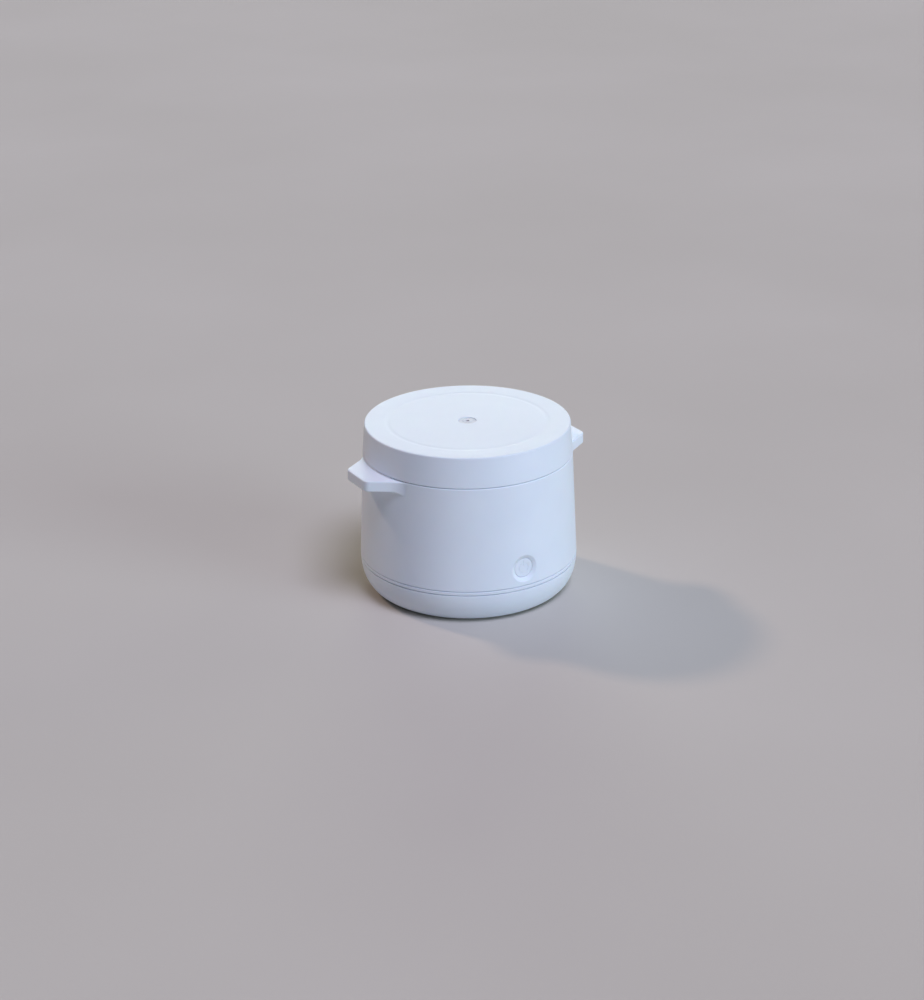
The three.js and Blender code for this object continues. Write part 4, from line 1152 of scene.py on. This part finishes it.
# %% [markdown]
# ## Base
#
# The foot turns under in a slightly squared quarter ellipse and ends in a flat underside. A fillet would
# be too round for it, so a formula draws the curve. Its last point is held by one close beside it, which
# keeps the flat underside from shading in wedges.

# %% Base shell
turn_width = 12.4 * MM
turn_drop = 1.5 * MM
turn_power = 2.15
base_floor = 2.4 * MM
tongue_wall = 2.0 * MM
soft_edge = ((0.3 * MM, 0), (0.1 * MM, 0.06 * MM))

base_top = trim_low.z - seat
turn_centre = base_top + turn_drop
turn_inner = foot_radius - turn_width
floor_top = base_low.z + base_floor
floor_under = floor_top - skin
tongue_outer = register_radius - seat
tongue_inner = tongue_outer - tongue_wall


def turn_under(across, down, power, start, end, steps):
    """Points of a superellipse below the height where the foot starts to turn. Angles count from level."""
    for step in range(steps + 1):
        angle = start + (end - start) * step / steps
        out, drop = math.cos(angle) ** (2 / power), math.sin(angle) ** (2 / power)
        yield turn_inner + across * out, turn_centre - down * drop


outer_start = math.asin(((turn_centre - base_top) / turn_centre) ** (turn_power / 2))
outer_end = math.asin(((turn_centre - base_low.z) / turn_centre) ** (turn_power / 2))
foot_curve = list(turn_under(turn_width, turn_centre, turn_power, outer_start, outer_end, 28))
base_outline = rounded([
    (0, floor_under),
    *turn_under(tongue_inner - turn_inner, turn_centre - floor_under, 2, math.pi / 2, 0, 12),
    (tongue_inner, base_high.z, 0.2 * MM),
    (tongue_outer, base_high.z, 0.3 * MM),
    (tongue_outer, base_top, 0.1 * MM),
    *[(foot_radius - inwards, base_top - down) for inwards, down in soft_edge],
    *foot_curve[1:],
    (foot_curve[-1][0] - HOLD, base_low.z),
    (0, base_low.z),
])
base = turned(base_outline)
print("foot turns under from", round(turn_centre / MM, 2), "mm to radius", round(turn_inner / MM, 2), "mm")

# %% [markdown]
# ## Wells and posts of the base
#
# Four rubber feet sit in shallow wells, and four screws in deeper ones. The wells are cut with rods. The
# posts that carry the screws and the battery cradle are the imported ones. They bring the top skin of the
# floor with them, so the turned floor lies 0.1 mm under it.

# %% Wells and posts
foot_boxes = [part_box(f"foot_{i}") for i in range(1, 5)]
screw_boxes = [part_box(f"base_screw_{i}") for i in range(1, 5)]
foot_height = foot_boxes[0][1].z
foot_pad_radius = (foot_boxes[0][1].x - foot_boxes[0][0].x) / 2
screw_well = 3.0 * MM
post_rise = 5 * MM
post_margin = 3 * MM
post_step = 4.5 * MM
post_skin = 0.2 * MM


def well_tool(box, radius, top):
    """Upright rod that cuts a well from below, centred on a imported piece."""
    return centred_on(rod(radius, 2 * top, 48), box)


tools = [well_tool(box, foot_pad_radius + seat, foot_height + seat) for box in foot_boxes]
tools += [well_tool(box, screw_well, floor_top + skin) for box in screw_boxes]
base = carved(base, *tools)
post_room = turned([
    (0, 0),
    (body_high.x, 0),
    (body_high.x, body_bottom + post_rise),
    (tongue_inner - post_margin, body_bottom + post_rise),
    (tongue_inner - post_margin, floor_top + post_step),
    (turn_inner, floor_top - post_skin),
    (0, floor_top - post_skin),
])
base = gathered(base, packed_inside("base_shell", post_room))
finished("base_moulding", base, shell_white, "shell", "housing", "base_shell")

# %% [markdown]
# ## Feet
#
# The feet are rubber discs with a soft edge and a ring groove that grips. One outline makes all four, and
# each is moved to its own well.

# %% Feet
grip_depth = 0.25 * MM
grip_edge = 0.1 * MM
grip_corners = ((3.4 * MM, 0), (3.6 * MM, grip_depth), (4.2 * MM, grip_depth), (4.4 * MM, 0))
foot_outline = rounded([
    (0, 0),
    *[(across, up, grip_edge) for across, up in grip_corners],
    (foot_pad_radius, 0, 0.4 * MM),
    (foot_pad_radius, foot_height, 0.2 * MM),
    (0, foot_height),
])
for i, box in enumerate(foot_boxes, 1):
    pad = centred_on(turned(foot_outline, SMALL_STEPS), box)
    finished(f"foot_pad_{i}", pad, dark_rubber, "dark_rubber", "housing", f"foot_{i}")

# %% [markdown]
# ## Base screws
#
# The screws have pan heads with a cross recess, which is cut with two slim blocks. A thread would be
# hidden in its boss, so the shank is plain.

# %% Base screws
screw_head = 2.6 * MM
screw_head_height = 2.0 * MM
screw_shank = 1.15 * MM
cross_half = 1.5 * MM
cross_width = 0.35 * MM
cross_depth = 1.1 * MM

screw_low, screw_high = screw_boxes[0][0].z, screw_boxes[0][1].z
screw_seat = screw_low + screw_head_height
screw_outline = rounded([
    (0, screw_low),
    (screw_head, screw_low, 0.8 * MM),
    (screw_head, screw_seat, 0.1 * MM),
    (screw_shank, screw_seat),
    (screw_shank, screw_high, 0.5 * MM),
    (0, screw_high),
])
for i, box in enumerate(screw_boxes, 1):
    slots = [
        box_shape((-reach, -width, screw_low - MM), (reach, width, screw_low + cross_depth))
        for reach, width in ((cross_half, cross_width), (cross_width, cross_half))
    ]
    screw = centred_on(carved(turned(screw_outline, SMALL_STEPS), *slots), box)
    finished(f"base_screw_fine_{i}", screw, zinc_steel, "zinc_steel", "housing", f"base_screw_{i}")

# %% [markdown]
# ## Button
#
# The cap's face lies at the bottom of the dish and is very slightly hollow for a fingertip. Behind the
# wall a collar keeps the cap in, and a stem reaches the switch. A generic power mark is cut into the face:
# most of a ring and a bar. It could be a bump in the finish, but a real cut catches the light as a moulded
# mark does.

# %% Button
cap_gap = 0.1 * MM
hollow = ((0, 0.12 * MM), (2.8 * MM, 0.09 * MM), (4.8 * MM, 0))
cap_collar = 1.2 * MM
cap_stem = 1.6 * MM
cap_radius = button_hole - cap_gap
collar_top = -pad_depth - seat
collar_under = collar_top - cap_collar
stem_end = -dish_depth - (button_high.y - button_low.y)
button_outline = rounded([
    *[(across, -dish_depth - down) for across, down in hollow],
    (cap_radius, -dish_depth, 0.25 * MM),
    (cap_radius, collar_top),
    (button_high.x, collar_top, 0.1 * MM),
    (button_high.x, collar_under, 0.1 * MM),
    (cap_stem, collar_under),
    (cap_stem, stem_end),
    (0, stem_end),
])

mark_radius = 3.0 * MM
mark_half = 0.22 * MM
mark_cut = 0.28 * MM
mark_sweep = math.radians(290)
mark_turn = math.radians(125)
mark_steps = 60
bar_start = 1.0 * MM
bar_end = 4.0 * MM
mark_depth = dish_depth + mark_cut
mark_section = [
    (mark_radius - mark_half, -mark_depth),
    (mark_radius + mark_half, -mark_depth),
    (mark_radius + mark_half, 0),
    (mark_radius - mark_half, 0),
]
mark_ring = moved(turned(mark_section, mark_steps, mark_sweep), Matrix.Rotation(mark_turn, 4, "Z"))
mark_bar = box_shape((-mark_half, bar_start, -mark_depth), (mark_half, bar_end, 0))
cap = to_front(carved(turned(button_outline, SMALL_STEPS), mark_ring, mark_bar))
finished("button_cap_fine", cap, shell_white, "shell", "button", "button_cap")

# %% [markdown]
# ## Bowl
#
# The bowl is one sheet of steel with a flat rim and a rounded mouth and foot, and shows when the lid is
# off. The outline goes out along its outside and back along its inside, so its wall is as thick as the
# real sheet.

# %% Bowl
bowl_outline = rounded([
    (0, bowl_low.z),
    (bowl_outer, bowl_low.z, 7.0 * MM),
    (bowl_outer, bowl_high.z - bowl_sheet, 0.2 * MM),
    (bowl_high.x, bowl_high.z - bowl_sheet, 0.3 * MM),
    (bowl_high.x, bowl_high.z, 0.3 * MM),
    (bowl_inner, bowl_high.z, 1.2 * MM),
    (bowl_inner, bowl_low.z + bowl_sheet, 6.2 * MM),
    (0, bowl_low.z + bowl_sheet),
], steps=10)
finished("bowl_fine", turned(bowl_outline), bowl_steel, "bowl_steel", "bowl", "food_bowl")

# %% [markdown]
# ## Well
#
# The well that the bowl stands in is moulded plastic with a round opening in its floor for the heater
# plate. It is turned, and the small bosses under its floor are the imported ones.

# %% Well
well_wall = 1.5 * MM
well_shelf = 18.8 * MM
well_floor = 2.0 * MM
plate_proud = 0.3 * MM

well_outer = neck_inner - seat
well_inner = well_outer - well_wall
well_lip_top = bowl_high.z - bowl_sheet - seat
well_lip_under = well_lip_top - well_wall
well_floor_top = plate_high.z - plate_proud
well_floor_under = plate_high.z - (plate_proud + well_floor)
plate_radius = well_inner - well_shelf
well_outline = rounded([
    (plate_radius + seat, well_floor_under),
    (well_outer, well_floor_under, 5.5 * MM),
    (well_outer, well_lip_under),
    (neck_outer, well_lip_under, 0.2 * MM),
    (neck_outer, well_lip_top, 0.5 * MM),
    (well_inner, well_lip_top, 0.8 * MM),
    (well_inner, well_floor_top, 4.0 * MM),
    (plate_radius + seat, well_floor_top, 0.3 * MM),
], steps=8)
well_room = turned([
    (0, well_floor_under + skin),
    (body_high.x, well_floor_under + skin),
    (body_high.x, lid_high.z),
    (0, lid_high.z),
])
well = gathered(turned(well_outline), packed_inside("well_liner", well_room))
finished("well_fine", well, inner_white, "inner_plastic", "housing", "well_liner")

# %% [markdown]
# ## Heater plate
#
# A turned aluminium plate stands a little proud of the well's floor, so that the bowl rests on it. Its
# flange is clamped under the floor.

# %% Heater plate
plate_flange = 2.0 * MM
flange_top = plate_low.z + plate_flange
plate_outline = rounded([
    (0, plate_low.z),
    (plate_high.x, plate_low.z, 0.2 * MM),
    (plate_high.x, flange_top, 0.2 * MM),
    (plate_radius, flange_top),
    (plate_radius, plate_high.z, 0.4 * MM),
    (0, plate_high.z),
])
plate = turned(plate_outline)
finished("plate_fine", plate, turned_aluminium, "plate_aluminium", "housing", "heater_plate")

# %% [markdown]
# ## Flap
#
# The flap is a silicone plate that turns on its rounded lower edge, where a slim rod is its pin. It is a
# box whose lower long edges get a wide bevel and whose upper edges get a fine one.

# %% Flap
flap_round = 0.6 * MM
flap_soft = 0.25 * MM
pin_radius = 0.35 * MM
pin_rise = 0.65 * MM
flap = box_shape((-flap_half, flap_low.y, flap_low.z), (flap_half, flap_high.y, flap_high.z))
lower = [edge for edge in flap.edges if all(vert.co.z < flap_low.z + MM for vert in edge.verts)]
lower = [edge for edge in lower if abs(edge.verts[0].co.x - edge.verts[1].co.x) > MM]
edges_rounded(flap, lower, flap_round, 6)
upper = [edge for edge in flap.edges if all(vert.co.z > flap_high.z - skin for vert in edge.verts)]
edges_rounded(flap, upper, flap_soft, 3)
flap_axis = Vector((0, (flap_low.y + flap_high.y) / 2, flap_low.z + pin_rise))
pin_place = Matrix.Translation(flap_axis) @ Matrix.Rotation(math.pi / 2, 4, "Y")
pin = moved(rod(pin_radius, flap_high.x - flap_low.x, 24), pin_place)
finished("flap_fine", gathered(flap, pin), milky_silicone, "silicone", "flap", "port_cover")

# %% [markdown]
# ## Charging inlet
#
# Behind the flap is a stamped shell with a contact tongue, the usual reversible inlet. A smaller rounded
# block is cut out of a larger one, which leaves a thin wall and a closed back.

# %% Charging inlet
socket_low, socket_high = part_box("charging_socket")
socket_wall = 0.35 * MM
socket_back = 1.0 * MM
past_mouth = 2 * MM
tongue_half_x = 3.3 * MM
tongue_half_z = 0.4 * MM
tongue_back = 0.5 * MM
tongue_inset = 0.6 * MM
wall_step = Vector((socket_wall, 0, socket_wall))
inlet = slot_shape(socket_low, socket_high, 1.3 * MM, 8)
bore = slot_shape(
    socket_low + wall_step + Vector((0, socket_back, 0)),
    socket_high - wall_step + Vector((0, past_mouth, 0)),
    1.0 * MM, 8,
)
tongue = box_shape(
    (-tongue_half_x, socket_low.y + tongue_back, port_centre - tongue_half_z),
    (tongue_half_x, socket_high.y - tongue_inset, port_centre + tongue_half_z),
    0.1 * MM,
)
inlet = gathered(carved(inlet, bore), tongue)
finished("inlet_fine", inlet, zinc_steel, "zinc_steel", "housing", "charging_socket")

# %% [markdown]
# ## Pieces that stay as packed
#
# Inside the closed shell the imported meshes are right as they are: flat boards, discs, cells and screws.
# They keep their shape and only get their finishes. Pieces that come in numbers share the start of their
# name, and the tabs are listed before the cells, because their name starts like a cell's.

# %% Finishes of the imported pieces
packed_finishes = {
    "well_sleeve": needled_felt,
    "heater_felt": needled_felt,
    "well_seal": milky_silicone,
    "heater_film": heater_foil,
    "heater_bracket": zinc_steel,
    "temperature_sensor": dark_rubber,
    "thermal_fuse": turned_aluminium,
    "control_board": control_green,
    "button_board": side_green,
    "socket_board": side_green,
    "battery_cradle": grey_plastic,
    "button_switch": grey_plastic,
}
packed_families = {
    "cell_tab": nickel_strip,
    "cell_": cell_sleeve,
    "sensor_lead": dark_rubber,
    "heater_lead": dark_rubber,
    "button_ribbon": dark_rubber,
    "socket_ribbon": dark_rubber,
    "bracket_screw": zinc_steel,
    "board_screw": zinc_steel,
    "cradle_screw": zinc_steel,
}
refinished = 0
for name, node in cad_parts.items():
    family = next((start for start in packed_families if name.startswith(start)), None)
    finish = packed_finishes.get(name) or packed_families.get(family)
    if finish and not node.hide_render:
        node.material_slots[0].material = finish
        refinished += 1
print("packed pieces refinished:", refinished)

# %% Write the sizes and finish
visual_box = [list(corner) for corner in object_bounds()]
for name, box in (("frame", frame_box), ("visual", visual_box)):
    print(name, [[round(value / MM, 2) for value in corner] for corner in box])
